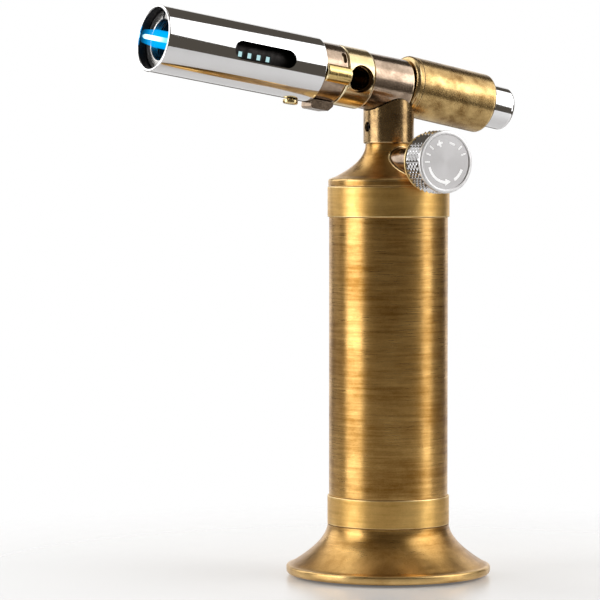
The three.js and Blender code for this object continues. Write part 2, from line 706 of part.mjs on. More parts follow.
function piezoGeometry() {
  const length = PIEZO.front - PIEZO.rear;
  const block = new THREE.BoxGeometry(PIEZO.width, PIEZO.depth, length);
  block.translate(0, 0, (PIEZO.front + PIEZO.rear) / 2);
  const terminal = rod(TERMINAL.radius, PIEZO.front - 1, TERMINAL.front);
  const bore = rod(PIEZO.bore, PIEZO.rear - 1, PIEZO.boreEnd, MEDIUM);
  return fromSolid(toSolid(block).add(toSolid(terminal)).subtract(toSolid(bore)));
}

function plungerGeometry() {
  return turned([
    [0, PLUNGER.rear],
    [PLUNGER.radius, PLUNGER.rear],
    [PLUNGER.radius, PLUNGER.front],
    [PLUNGER.pin, PLUNGER.front],
    [PLUNGER.pin, PLUNGER.pinFront],
    [0, PLUNGER.pinFront],
  ], MEDIUM);
}

// ---------------------------------------------------------------- pieces on the valve axis
function valveBodyGeometry() {
  const inletRadius = 1;
  const seatHole = 0.7;
  const body = turned([
    [seatHole, VALVE.inletAt],
    [0, VALVE.inletAt],
    [0, VALVE.rear],
    [VALVE.outer, VALVE.rear],
    [VALVE.outer, VALVE.front],
    [VALVE.chamber, VALVE.front],
    [VALVE.chamber, VALVE.seat],
    [seatHole, VALVE.seat],
  ], MEDIUM);
  const inlet = rod(inletRadius, -VALVE.outer - 1, 0.2).rotateX(-Math.PI / 2);
  const outlet = rod(RISER.outer + GAP, 0, VALVE.outer + 1).rotateX(-Math.PI / 2);
  return cut(body, inlet.translate(0, 0, VALVE.inletAt), outlet);
}

function spindleGeometry() {
  const needleRadius = 0.3;
  return turned([
    [0, SPINDLE.needle],
    [needleRadius, SPINDLE.needle],
    [SPINDLE.radius, SPINDLE.needleEnd],
    [SPINDLE.radius, SPINDLE.front],
    [SPINDLE.hole, SPINDLE.front],
    [SPINDLE.hole, SPINDLE.front - SPINDLE.holeDepth],
    [0, SPINDLE.front - SPINDLE.holeDepth],
  ], COARSE);
}

function sealGeometry() {
  const section = (O_RING.outer - O_RING.inner) / 2;
  const middle = (O_RING.outer + O_RING.inner) / 2;
  return turned(corner(middle, O_RING.at, section, 0, 300, 5), COARSE);
}

function glandGeometry() {
  const hexagon = rod(GLAND.acrossCorners, GLAND.rear, GLAND.front, 6);
  return cut(hexagon, rod(GLAND.bore, GLAND.rear - 1, GLAND.front + 1));
}

function knobGeometry() {
  const outline = new THREE.Shape();
  const points = KNOB.ridges * 2;
  for (let i = 0; i < points; i += 1) {
    const angle = (2 * Math.PI * i) / points;
    const radius = i % 2 === 0 ? KNOB.radius : KNOB.radius - KNOB.groove;
    outline[i === 0 ? "moveTo" : "lineTo"](radius * Math.cos(angle), radius * Math.sin(angle));
  }
  outline.closePath();
  const depth = KNOB.front - KNOB.rear;
  const blank = new THREE.ExtrudeGeometry(outline, { depth, bevelEnabled: false }).translate(0, 0, KNOB.rear);
  return cut(
    blank,
    rod(KNOB_HUB.bore, KNOB.rear - 1, KNOB_HUB.boreEnd),
    rod(KNOB_HUB.screwHole, KNOB.rear, KNOB.front),
    rod(KNOB_HUB.counterbore, KNOB_HUB.counterboreRear, KNOB.front),
    rod(KNOB.recess, KNOB.recessRear, KNOB.front + 1, FINE),
  );
}

function faceGeometry() {
  const edge = 0.25;
  return turned([
    [0, FACE.rear],
    [FACE.spigot, FACE.rear],
    [FACE.spigot, FACE.back],
    [FACE.radius, FACE.back],
    [FACE.radius, FACE.front - edge],
    [FACE.radius - edge, FACE.front],
    [FACE.rimInner, FACE.front],
    [FACE.rimInner, FACE.floor],
    [0, FACE.floor],
  ]);
}

function knobScrewGeometry() {
  return turned([
    [0, KNOB_SCREW.rear],
    [KNOB_SCREW.shank, KNOB_SCREW.rear],
    [KNOB_SCREW.shank, KNOB_SCREW.headRear],
    [KNOB_SCREW.head, KNOB_SCREW.headRear],
    [KNOB_SCREW.head, KNOB_SCREW.front],
    [0, KNOB_SCREW.front],
  ], COARSE);
}

// ---------------------------------------------------------------- assembly
function piece(name, geometry, material) {
  const mesh = new THREE.Mesh(weld(geometry), material);
  mesh.name = name;
  return mesh;
}

function tankGroup() {
  const group = new THREE.Group();
  const feed = tube(FEED.outer, FEED.inner, FEED.bottom, FEED.top, COARSE);
  const wick = tube(WICK.radius, WICK.bore, WICK.bottom, WICK.top, COARSE);
  const spring = coilSpring(FILL_SPRING, FILL_SPRING.bottom, FILL_SPRING.top);
  const fillSeal = tube(FILL_SEAL.outer, FILL_SEAL.inner, FILL_SEAL.bottom, FILL_SEAL.top, MEDIUM);
  group.add(
    piece("base_foot", footGeometry(), antiqueBrass()),
    piece("base_pad", padGeometry(), rubber()),
    piece("lower_collar", lowerCollarGeometry(), collarBrass()),
    piece("tank_sleeve", tube(TUBE.outer, TUBE.inner, TUBE.bottom, TUBE.top), antiqueBrass()),
    piece("upper_collar", upperCollarGeometry(), collarBrass()),
    piece("shoulder", shoulderGeometry(), antiqueBrass()),
    piece("neck", neckGeometry(), bronze()),
    piece("neck_grub_screw", neckScrewGeometry(), steel()),
    piece("fuel_tank", fuelTankGeometry(), tankPlastic()),
    piece("fuel_tank_lid", tankLidGeometry(), tankPlastic()),
    piece("feed_tube", feed.translate(0, FEED.offset, 0), brightBrass()),
    piece("feed_wick", wick.translate(0, FEED.offset, 0), felt()),
    piece("gas_riser", riserGeometry(), brightBrass()),
    piece("fill_valve_body", fillValveBodyGeometry(), brightBrass()),
    piece("fill_valve_stem", fillStemGeometry(), steel()),
    piece("fill_valve_spring", spring, springSteel()),
    piece("fill_valve_gasket", fillSeal, rubber()),
  );
  return group;
}

function burnerGroup() {
  const group = new THREE.Group();
  group.position.z = BURNER_HEIGHT;
  group.rotation.y = -THREE.MathUtils.degToRad(90 - BURNER_TILT);
  const insulator = tube(INSULATOR.outer, INSULATOR.inner, INSULATOR.rear, INSULATOR.front, COARSE);
  group.add(
    piece("burner_body", burnerBodyGeometry(), bronze()),
    piece("air_ring", airRingGeometry(), brightBrass()),
    piece("flame_holder", flameHolderGeometry(), bronze()),
    piece("jet_holder", jetHolderGeometry(), brightBrass()),
    piece("gas_jet", jetGeometry(), brightBrass()),
    piece("mixing_tube", mixerGeometry(), steel()),
    piece("flame_tube", flameTubeGeometry(), chrome()),
    piece("burner_nozzle", nozzleGeometry(), burntSteel()),
    piece("mouth_ring", mouthRingGeometry(), steel()),
    piece("insulator", insulator.translate(LEAD_LINE, 0, 0), ceramic()),
    piece("electrode", electrodeGeometry(), steel()),
    piece("ignition_lead", leadGeometry(), leadSleeve()),
    piece("lead_cover", leadCoverGeometry(), brightBrass()),
    piece("retaining_lug", lugGeometry(), bronze()),
    piece("flame_tube_screw", tubeScrewGeometry(), brightBrass()),
  );
  return group;
}

function ignitionGroup() {
  const group = new THREE.Group();
  group.position.z = IGNITION_HEIGHT;
  group.rotation.y = -THREE.MathUtils.degToRad(90 - IGNITION_TILT);
  const nipple = tube(NIPPLE.outer, NIPPLE.inner, NIPPLE.rear, NIPPLE.front, COARSE);
  const spring = coilSpring(BUTTON_SPRING, BUTTON_SPRING.rear, BUTTON_SPRING.front);
  group.add(
    piece("ignition_housing", housingGeometry(), satinBrass()),
    piece("housing_front_cap", housingCapGeometry(), satinBrass()),
    piece("joining_nipple", nipple, brightBrass()),
    piece("push_button", buttonGeometry(), chrome()),
    piece("button_spring", spring, springSteel()),
    piece("piezo_unit", piezoGeometry(), blackPlastic()),
    piece("piezo_plunger", plungerGeometry(), blackPlastic()),
  );
  return group;
}

function valveGroup() {
  const group = new THREE.Group();
  group.position.z = VALVE_HEIGHT;
  group.rotation.x = Math.PI / 2;
  const flange = tube(FLANGE.radius, FLANGE.bore, FLANGE.rear, FLANGE.front);
  group.add(
    piece("valve_body", valveBodyGeometry(), bronze()),
    piece("valve_spindle", spindleGeometry(), steel()),
    piece("spindle_seal", sealGeometry(), rubber()),
    piece("gland_nut", glandGeometry(), brightBrass()),
    piece("knob_flange", flange, brightBrass()),
    piece("knob", knobGeometry(), chrome()),
    piece("knob_face", faceGeometry(), satinFace()),
    piece("knob_screw", knobScrewGeometry(), steel()),
  );
  return group;
}

// The origin is the middle of the bounding box's bottom face.
function torch() {
  const assembly = new THREE.Group();
  assembly.add(tankGroup(), burnerGroup(), ignitionGroup(), valveGroup());
  assembly.updateMatrixWorld(true);
  const box = new THREE.Box3().setFromObject(assembly, true);
  assembly.position.set(-(box.min.x + box.max.x) / 2, -(box.min.y + box.max.y) / 2, -box.min.z);
  const root = new THREE.Group();
  root.add(assembly);
  root.updateMatrixWorld(true);
  return root;
}

export default torch();
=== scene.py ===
"""Studio model of a refillable butane torch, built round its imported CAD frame.

Every piece is made in millimetres round one of four axes and set in place by that axis:
the tank axis (up), the burner axis (towards the flame), the ignition axis (towards the
flame, with the push button at its far end) and the valve axis (out through the knob).
"""

import json
import logging
import math
from dataclasses import dataclass, field
from enum import Enum
from typing import Callable, Optional, Sequence, Union

import bmesh
import bpy
from mathutils import Matrix, Vector
from mathutils.bvhtree import BVHTree
from mathutils.interpolate import poly_3d_calc

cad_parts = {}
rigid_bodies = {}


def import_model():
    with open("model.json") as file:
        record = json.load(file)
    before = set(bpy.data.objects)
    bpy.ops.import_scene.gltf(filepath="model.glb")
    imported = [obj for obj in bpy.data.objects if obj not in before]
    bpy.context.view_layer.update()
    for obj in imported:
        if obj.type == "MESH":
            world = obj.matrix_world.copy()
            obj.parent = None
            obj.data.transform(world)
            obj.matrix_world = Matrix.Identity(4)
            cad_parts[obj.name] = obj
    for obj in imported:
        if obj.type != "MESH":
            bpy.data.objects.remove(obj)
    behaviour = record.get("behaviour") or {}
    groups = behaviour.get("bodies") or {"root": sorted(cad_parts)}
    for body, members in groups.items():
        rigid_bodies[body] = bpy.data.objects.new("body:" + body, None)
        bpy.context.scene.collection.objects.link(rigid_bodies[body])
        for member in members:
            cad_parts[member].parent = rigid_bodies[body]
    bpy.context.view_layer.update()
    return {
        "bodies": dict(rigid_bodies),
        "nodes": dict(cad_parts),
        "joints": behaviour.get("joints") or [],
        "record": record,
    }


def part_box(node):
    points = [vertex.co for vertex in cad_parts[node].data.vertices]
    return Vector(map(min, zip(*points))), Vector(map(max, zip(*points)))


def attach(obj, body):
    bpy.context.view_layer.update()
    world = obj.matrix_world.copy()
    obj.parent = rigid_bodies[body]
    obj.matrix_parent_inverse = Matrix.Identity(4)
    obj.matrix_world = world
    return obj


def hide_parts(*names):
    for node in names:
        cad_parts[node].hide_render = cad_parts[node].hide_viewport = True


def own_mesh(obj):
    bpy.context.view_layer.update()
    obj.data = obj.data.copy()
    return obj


MM = 0.001                       # metres in a millimetre
WEAR_AND_HIGHLIGHT = "wear_and_highlight"                    # mesh attribute that is 1 on the rounded outer edges, where the edge colour paints rubbed metal and a painted highlight
SHARP = math.radians(32)         # sharper edges than this stay crisp
TINY = 1e-6
VALVE_HEIGHT = 131.96            # millimetres above the foot

Colour = tuple[float, float, float]
Station = tuple[float, ...]      # radius, distance along the axis and, where rounded, the rounding
Outline = list[tuple[float, float]]
Span = tuple[float, float]       # where a piece starts and ends along its axis

log = logging.getLogger("torch")


# ------------------------------------------------------------------ axes and outlines
@dataclass(frozen=True)
class Axis:
    """A local frame: its z runs along the axis, its x is the upper or front side."""

    origin: Vector
    across: Vector
    side: Vector
    along: Vector

    @staticmethod
    def leaning(origin: Vector, tilt: float) -> "Axis":
        """Makes an axis that points towards the flame.

        Args:
            origin: where it crosses the tank axis, in metres.
            tilt: degrees above the horizontal.

        Returns:
            The axis, with its local x on the upper side.
        """
        lean = math.radians(tilt)
        along = Vector((-math.cos(lean), 0, math.sin(lean)))
        across = Vector((math.sin(lean), 0, math.cos(lean)))
        return Axis(origin, across, along.cross(across), along)

    def matrix(self) -> Matrix:
        """Returns the matrix from local metres to the row frame."""
        turn = Matrix((self.across, self.side, self.along)).transposed().to_4x4()
        return Matrix.Translation(self.origin) @ turn

    def point(self, x: float, y: float, z: float) -> Vector:
        """Returns the place in the row frame of a local point given in millimetres."""
        return self.matrix() @ Vector((x * MM, y * MM, z * MM))


def signed_area(points: Sequence[Station]) -> float:
    """Measures the signed area of a closed outline.

    Args:
        points: the outline's points.

    Returns:
        The area, positive when the outline runs anticlockwise.
    """
    area = 0.0
    for here, after in zip(points, [*points[1:], points[0]]):
        area += here[0] * after[1] - after[0] * here[1]
    return area / 2


def rounded(stations: Sequence[Station], steps: int = 5) -> list[Station]:
    """Rounds the corners of a closed outline.

    Args:
        stations: corners as (radius, z) or (radius, z, rounding).
        steps: facets across each rounding.

    Returns:
        Points as (radius, z, edge mark), where the mark is 1 on outward roundings, which later take the
        brighter edge colour: rubbed metal and a painted edge highlight.
    """
    turn = 1.0 if signed_area(stations) > 0 else -1.0
    points: list[Station] = []
    count = len(stations)
    for i, station in enumerate(stations):
        corner = Vector(station[:2])
        round_off = station[2] if len(station) > 2 else 0.0
        before = Vector(stations[i - 1][:2]) - corner
        after = Vector(stations[(i + 1) % count][:2]) - corner
        if round_off <= 0 or before.length < TINY or after.length < TINY:
            points.append((corner.x, corner.y, 0.0))
            continue
        angle = before.angle(after)
        if angle > math.pi - 0.02:
            points.append((corner.x, corner.y, 0.0))
            continue
        reach = min(round_off / math.tan(angle / 2), 0.48 * min(before.length, after.length))
        radius = reach * math.tan(angle / 2)
        middle = (before.normalized() + after.normalized()).normalized()
        centre = corner + middle * (radius / math.sin(angle / 2))
        outward = (after.x * before.y - after.y * before.x) * turn > 0
        start = corner + before.normalized() * reach - centre
        end = corner + after.normalized() * reach - centre
        sweep = math.atan2(start.x * end.y - start.y * end.x, start.dot(end))
        for k in range(steps + 1):
            spoke = Matrix.Rotation(sweep * k / steps, 2) @ start
            points.append((centre.x + spoke.x, centre.y + spoke.y, 1.0 if outward else 0.0))
    return points


def supported(points: Sequence[Station], margin: float = 0.12, shortest: float = 1.1) -> list[Station]:
    """Adds a point near both ends of each long straight stretch, so that shading stays flat there.

    Args:
        points: the rounded outline.
        margin: distance of the new points from the ends.
        shortest: stretches below this length are left alone.

    Returns:
        The outline with its new points, whose edge mark is 0, so they take no rubbed colour and no painted
        highlight.
    """
    result: list[Station] = []
    for here, after in zip(points, [*points[1:], points[0]]):
        result.append(here)
        length = math.dist(here[:2], after[:2])
        if length > shortest:
            for share in (margin / length, 1 - margin / length):
                result.append((
                    here[0] + (after[0] - here[0]) * share,
                    here[1] + (after[1] - here[1]) * share,
                    0.0,
                ))
    return result


def flare(wide: Station, narrow: Station, power: float, steps: int = 28, inset: float = 0) -> list[Station]:
    """Returns the points of a concave flare between a wide and a narrow end.

    Args:
        wide: (radius, z) of the wide end.
        narrow: (radius, z) of the narrow end.
        power: how quickly the flare opens.
        steps: stretches along it.
        inset: distance inside the outer surface.

    Returns:
        Points as (radius, z), from the wide end to the narrow end.
    """
    points = []
    for i in range(steps + 1):
        z = wide[1] + (narrow[1] - wide[1]) * i / steps
        share = (narrow[1] - z) / (narrow[1] - wide[1])
        points.append((narrow[0] + (wide[0] - narrow[0]) * share ** power - inset, z))
    return points


# ------------------------------------------------------------------ meshes, in millimetres
def turned(stations: Sequence[Station], facets: int = 128) -> bpy.types.Mesh:
    """Revolves a closed outline round the local z axis.

    Args:
        stations: the outline's corners, see rounded().
        facets: facets round the axis.

    Returns:
        A closed mesh with its edge attribute filled in, which marks the rounded outer edges for rubbed colour
        and a painted highlight.
    """
    outline = supported(rounded(stations))
    shell = bmesh.new()
    wear_and_highlight = shell.verts.layers.float.new(WEAR_AND_HIGHLIGHT)
    rings = []
    for radius, z, worn_and_highlit in outline:
        on_axis = abs(radius) < TINY
        ring = []
        for k in range(1 if on_axis else facets):
            angle = math.tau * k / facets
            vert = shell.verts.new((radius * math.cos(angle), radius * math.sin(angle), z))
            vert[wear_and_highlight] = worn_and_highlit
            ring.append(vert)
        rings.append(ring)
    for lower, upper in zip(rings, [*rings[1:], rings[0]]):
        for k in range(facets):
            corners = [lower[k % len(lower)], lower[(k + 1) % len(lower)],
                       upper[(k + 1) % len(upper)], upper[k % len(upper)]]
            distinct = list(dict.fromkeys(corners))
            if len(distinct) > 2:
                shell.faces.new(distinct)
    return finished(shell)


def finished(shell: bmesh.types.BMesh, sharp: float = SHARP) -> bpy.types.Mesh:
    """Turns a bmesh into a smooth-shaded mesh with its faces pointing out and sharp edges marked.

    Args:
        shell: the closed shape, which is freed.
        sharp: edges with a larger angle than this are marked sharp.

    Returns:
        The mesh.
    """
    bmesh.ops.remove_doubles(shell, verts=shell.verts, dist=1e-5)
    bmesh.ops.recalc_face_normals(shell, faces=shell.faces)
    mesh = bpy.data.meshes.new("turned")
    shell.to_mesh(mesh)
    shell.free()
    mesh.shade_smooth()
    mesh.set_sharp_from_angle(angle=sharp)
    return mesh


def extruded(outline: Sequence[tuple[float, float]], bottom: float, top: float,
             bevel: float = 0) -> bpy.types.Mesh:
    """Extrudes a closed outline in the local xy plane.

    Args:
        outline: its corners.
        bottom: z of the lower face.
        top: z of the upper face.
        bevel: width of the bevel on its edges, or 0 for none.

    Returns:
        A closed mesh.
    """
    shell = bmesh.new()
    low = [shell.verts.new((x, y, bottom)) for x, y in outline]
    high = [shell.verts.new((x, y, top)) for x, y in outline]
    shell.faces.new(low[::-1])
    shell.faces.new(high)
    for i in range(len(outline)):
        j = (i + 1) % len(outline)
        shell.faces.new((low[i], low[j], high[j], high[i]))
    if bevel > 0:
        edges = [edge for edge in shell.edges if edge.calc_face_angle(0) > 0.3]
        bmesh.ops.bevel(shell, geom=edges, offset=bevel, segments=2, affect="EDGES")
    return finished(shell)


def swept(path: Sequence[Vector], radius: float, sides: int = 10) -> bpy.types.Mesh:
    """Sweeps a round section along a path, with closed ends.

    Args:
        path: the middle of the section, point by point.
        radius: radius of the section.
        sides: facets round the section.

    Returns:
        A closed mesh.
    """
    shell = bmesh.new()
    rings = []
    across = (path[1] - path[0]).orthogonal().normalized()
    for i, point in enumerate(path):
        ahead = path[min(i + 1, len(path) - 1)] - path[max(i - 1, 0)]
        ahead.normalize()
        across = (across - ahead * across.dot(ahead)).normalized()
        side = ahead.cross(across)
        rings.append([
            shell.verts.new(point + radius * (across * math.cos(a) + side * math.sin(a)))
            for a in (math.tau * k / sides for k in range(sides))
        ])
    for lower, upper in zip(rings, rings[1:]):
        for k in range(sides):
            shell.faces.new((lower[k], lower[(k + 1) % sides], upper[(k + 1) % sides], upper[k]))
    shell.faces.new(rings[0][::-1])
    shell.faces.new(rings[-1])
    return finished(shell, math.radians(50))


def helix(radius: float, bottom: float, top: float, turns: float, steps: int = 28) -> list[Vector]:
    """Makes the path of a coil round the local z axis whose two end turns lie closed.

    Args:
        radius: radius of the coil.
        bottom: z where it starts.
        top: z where it ends.
        turns: how often it goes round.
        steps: points in each turn.

    Returns:
        The points of the path.
    """
    points = []
    total = int(turns * steps)
    for i in range(total + 1):
        share = i / total
        open_share = min(max((share * turns - 0.75) / (turns - 1.5), 0), 1)
        angle = math.tau * turns * share
        z = bottom + (top - bottom) * (0.06 * share + 0.94 * open_share)
        points.append(Vector((radius * math.cos(angle), radius * math.sin(angle), z)))
    return points


def moved(mesh: bpy.types.Mesh, matrix: Matrix) -> bpy.types.Mesh:
    """Moves a mesh's vertices by a matrix and returns the mesh."""
    mesh.transform(matrix)
    return mesh


def turn_about(letter: str, degrees: float) -> Matrix:
    """Returns a rotation about a named local axis."""
    return Matrix.Rotation(math.radians(degrees), 4, letter)


def crossing(height: float, letter: str, degrees: float) -> Matrix:
    """Returns the place of a tool that crosses the local z axis at a height."""
    return Matrix.Translation((0, 0, height)) @ turn_about(letter, degrees)


def rod(radius: float, bottom: float, top: float, facets: int) -> bpy.types.Mesh:
    """Returns a plain round bar on the local z axis, for cutting a hole or a seat."""
    return turned([(0, bottom), (radius, bottom), (radius, top), (0, top)], facets)


def tubed(bore: float, outer: float, span: Span, edges: Sequence[float], facets: int) -> bpy.types.Mesh:
    """Makes a plain tube or ring.

    Args:
        bore: inner radius.
        outer: outer radius.
        span: where it starts and ends along the axis.
        edges: rounding of its edges: inner and outer at the start, outer and inner at the end.
        facets: facets round the axis.

    Returns:
        A closed mesh with its edge attribute filled in, which marks the rounded outer edges for rubbed colour
        and a painted highlight.
    """
    start, end = span
    return turned([(bore, start, edges[0]), (outer, start, edges[1]), (outer, end, edges[2]),
                   (bore, end, edges[3])], facets)


def on_circle(radius: float, degrees: float) -> tuple[float, float]:
    """Returns the point at an angle on a circle round the local z axis."""
    return radius * math.cos(math.radians(degrees)), radius * math.sin(math.radians(degrees))


def hexagon(radius: float) -> Outline:
    """Returns the corners of a hexagon round the local z axis."""
    return [on_circle(radius, 60 * k) for k in range(6)]


def rectangle(x: float, y: float, width: float, height: float) -> Outline:
    """Returns the corners of a rectangle about its middle."""
    return [(x + i * width / 2, y + j * height / 2) for i, j in ((-1, -1), (1, -1), (1, 1), (-1, 1))]


def round_ended(first: tuple[float, float], last: tuple[float, float], radius: float, steps: int) -> Outline:
    """Makes the outline of a slot with round ends.

    Args:
        first: middle of one round end.
        last: middle of the other round end.
        radius: half the slot's width.
        steps: facets round each end.

    Returns:
        The outline's points.
    """
    outward = math.degrees(math.atan2(first[1] - last[1], first[0] - last[0]))
    outline = []
    for (x, y), start in ((first, outward - 90), (last, outward + 90)):
        for k in range(steps + 1):
            across, up = on_circle(radius, start + 180 * k / steps)
            outline.append((x + across, y + up))
    return outline


def source_normals(mesh: bpy.types.Mesh) -> tuple[BVHTree, list, list]:
    """Collects what is needed to look up a mesh's smooth normal at any place on it.

    Args:
        mesh: the mesh to look up later.

    Returns:
        Its search tree, its faces as corner points, and each face's corner normals.
    """
    points = [vert.co.copy() for vert in mesh.vertices]
    faces = [list(face.vertices) for face in mesh.polygons]
    corners = [entry.vector.copy() for entry in mesh.corner_normals]
    normals = [[corners[k] for k in face.loop_indices] for face in mesh.polygons]
    return BVHTree.FromPolygons(points, faces), [[points[v] for v in face] for face in faces], normals


def carved(blank: bpy.types.Mesh, *tools: bpy.types.Mesh) -> bpy.types.Mesh:
    """Cuts tools out of a blank, and keeps the smooth shading of every surface that it leaves.

    Args:
        blank: the mesh to cut.
        tools: closed meshes to take away.

    Returns:
        A new mesh.
    """
    scene = bpy.context.scene.collection
    holders = [bpy.data.objects.new("cutting", mesh) for mesh in (blank, *tools)]
    for holder in holders:
        scene.objects.link(holder)
    for holder in holders[1:]:
        step = holders[0].modifiers.new("cut", "BOOLEAN")
        step.operation = "DIFFERENCE"
        step.solver = "EXACT"
        step.object = holder
    graph = bpy.context.evaluated_depsgraph_get()
    result = bpy.data.meshes.new_from_object(holders[0].evaluated_get(graph))
    sources = [source_normals(mesh) for mesh in (blank, *tools)]
    normals = []
    for face in result.polygons:
        centre = face.center
        best = None
        for rank, (tree, shapes, corner_normals) in enumerate(sources):
            _, normal, index, gap = tree.find_nearest(centre)
            if index is None or abs(normal.dot(face.normal)) < 0.8:
                continue
            if best is None or gap < best[0] - 1e-4:
                best = (gap, rank, tree, shapes, corner_normals)
        for vertex in face.vertices:
            if best is None:
                normals.append(face.normal.copy())
                continue
            _, rank, tree, shapes, corner_normals = best
            inner = result.vertices[vertex].co.lerp(centre, 0.02)
            place, _, index, _ = tree.find_nearest(inner)
            weights = poly_3d_calc(shapes[index], place)
            blend = Vector((0, 0, 0))
            for weight, corner in zip(weights, corner_normals[index]):
                blend += corner * weight
            normals.append(blend.normalized() * (1 if rank == 0 else -1))
    result.shade_smooth()
    result.normals_split_custom_set(normals)
    for holder in holders:
        bpy.data.objects.remove(holder)
    return result


def joined(*meshes: bpy.types.Mesh) -> bpy.types.Mesh:
    """Joins separate meshes into one mesh.

    Args:
        meshes: the meshes, which keep their own shapes.

    Returns:
        The joined mesh.
    """
    shell = bmesh.new()
    for mesh in meshes:
        shell.from_mesh(mesh)
    return finished(shell)


def linked(name: str, data: bpy.types.ID) -> bpy.types.Object:
    """Adds an object for a mesh, a light or a camera to the scene.

    Args:
        name: the object's name.
        data: what the object holds.

    Returns:
        The object, at the origin.
    """
    holder = bpy.data.objects.new(name, data)
    bpy.context.scene.collection.objects.link(holder)
    return holder


def aimed(holder: bpy.types.Object, place: Vector, direction: Vector) -> None:
    """Puts a light or a camera at a place and points it in a direction."""
    holder.location = place
    holder.rotation_euler = direction.to_track_quat("-Z", "Y").to_euler()


# ------------------------------------------------------------------ finishes
class Grain(Enum):
    """Which way the marks in a surface run."""

    AROUND = "round the turning axis"
    ALONG = "along the axis"
    CAST = "no direction, with pits"
    POLISHED = "faint wipe marks"


class Sheet:
    """A material's node tree, with short methods for the nodes that the finishes use."""

    def __init__(self, name: str) -> None:
        """Starts a material with only its output node.

        Args:
            name: the material's name.
        """
        self.material = bpy.data.materials.new(name)
        self.material.use_nodes = True
        self.tree = self.material.node_tree
        self.tree.nodes.clear()
        self.output = self.tree.nodes.new("ShaderNodeOutputMaterial")

    def node(self, kind: str, **values: object) -> bpy.types.Node:
        """Adds a node.

        Args:
            kind: Blender's name for the kind of node.
            values: the node's properties by name.

        Returns:
            The new node.
        """
        made = self.tree.nodes.new(kind)
        for key, value in values.items():
            setattr(made, key, value)
        return made

    def link(self, start: bpy.types.NodeSocket, end: bpy.types.NodeSocket) -> None:
        """Joins two sockets."""
        self.tree.links.new(start, end)

    def math(self, operation: str, *inputs: object) -> bpy.types.NodeSocket:
        """Adds a math node.

        Args:
            operation: Blender's name for the operation.
            inputs: a socket or a number for each input.

        Returns:
            The result's socket.
        """
        made = self.node("ShaderNodeMath", operation=operation)
        for slot, value in zip(made.inputs, inputs):
            if isinstance(value, bpy.types.NodeSocket):
                self.link(value, slot)
            else:
                slot.default_value = value
        return made.outputs[0]

    def place(self) -> bpy.types.NodeSocket:
        """Finds the place on the piece.

        Returns:
            The local place in millimetres.
        """
        coordinates = self.node("ShaderNodeTexCoord")
        scale = self.node("ShaderNodeVectorMath", operation="SCALE")
        scale.inputs["Scale"].default_value = 1 / MM
        self.link(coordinates.outputs["Object"], scale.inputs[0])
        return scale.outputs[0]

    def stretched(self, place: bpy.types.NodeSocket, factors: Colour) -> bpy.types.NodeSocket:
        """Stretches a place.

        Args:
            place: local place in millimetres.
            factors: what to multiply x, y and z by.

        Returns:
            The stretched place.
        """
        made = self.node("ShaderNodeVectorMath", operation="MULTIPLY")
        made.inputs[1].default_value = factors
        self.link(place, made.inputs[0])
        return made.outputs[0]

    def split(self, place: bpy.types.NodeSocket) -> tuple:
        """Takes a place apart.

        Args:
            place: local place in millimetres.

        Returns:
            Its x, y and z sockets.
        """
        made = self.node("ShaderNodeSeparateXYZ")
        self.link(place, made.inputs[0])
        return tuple(made.outputs)

    def radius(self, x: bpy.types.NodeSocket, y: bpy.types.NodeSocket) -> bpy.types.NodeSocket:
        """Returns the distance from the local z axis."""
        return self.math("SQRT", self.math("ADD", self.math("MULTIPLY", x, x), self.math("MULTIPLY", y, y)))

    def see_through(self, surface: bpy.types.NodeSocket, share: bpy.types.NodeSocket) -> None:
        """Finishes the material with a surface that lets light straight through in part.

        Args:
            surface: the shader's output.
            share: 1 where nothing of the surface shows.
        """
        mix = self.node("ShaderNodeMixShader")
        self.link(share, mix.inputs[0])
        self.link(surface, mix.inputs[1])
        self.link(self.node("ShaderNodeBsdfTransparent").outputs[0], mix.inputs[2])
        self.link(mix.outputs[0], self.output.inputs[0])

    def turning(self, place: bpy.types.NodeSocket, fine: float, slow: float) -> bpy.types.NodeSocket:
        """Turns a place into one that changes quickly with radius and z, and slowly round the axis.

        Args:
            place: local place in millimetres.
            fine: marks per millimetre across the lines.
            slow: changes along the lines, per radian.

        Returns:
            The new place, for a noise of turned lines.
        """
        x, y, z = self.split(place)
        radius = self.radius(x, y)
        safe = self.math("MAXIMUM", radius, 0.05)
        travel = self.math("ADD", z, self.math("MULTIPLY", radius, 0.73))
        made = self.node("ShaderNodeCombineXYZ")
        self.link(self.math("MULTIPLY", self.math("DIVIDE", x, safe), slow), made.inputs[0])
        self.link(self.math("MULTIPLY", self.math("DIVIDE", y, safe), slow), made.inputs[1])
        self.link(self.math("MULTIPLY", travel, fine), made.inputs[2])
        return made.outputs[0]

    def noise(self, place: bpy.types.NodeSocket, scale: float, detail: float = 3,
              roughness: float = 0.6) -> bpy.types.NodeSocket:
        """Adds a noise.

        Args:
            place: where it is read.
            scale: lumps per unit of place.
            detail: how many finer layers it has.
            roughness: how strong the finer layers are.

        Returns:
            A value between 0 and 1.
        """
        made = self.node("ShaderNodeTexNoise")
        made.inputs["Scale"].default_value = scale
        made.inputs["Detail"].default_value = detail
        made.inputs["Roughness"].default_value = roughness
        self.link(place, made.inputs["Vector"])
        return made.outputs["Fac"]

    def ranged(self, value: bpy.types.NodeSocket, low: float, high: float, to_low: float,
               to_high: float) -> bpy.types.NodeSocket:
        """Maps a value from one range to another and clamps it.

        Args:
            value: the value to map.
            low: where the first range starts.
            high: where the first range ends.
            to_low: what its start becomes.
            to_high: what its end becomes.

        Returns:
            The mapped value.
        """
        made = self.node("ShaderNodeMapRange")
        self.link(value, made.inputs["Value"])
        for key, number in (("From Min", low), ("From Max", high), ("To Min", to_low), ("To Max", to_high)):
            made.inputs[key].default_value = number
        return made.outputs["Result"]

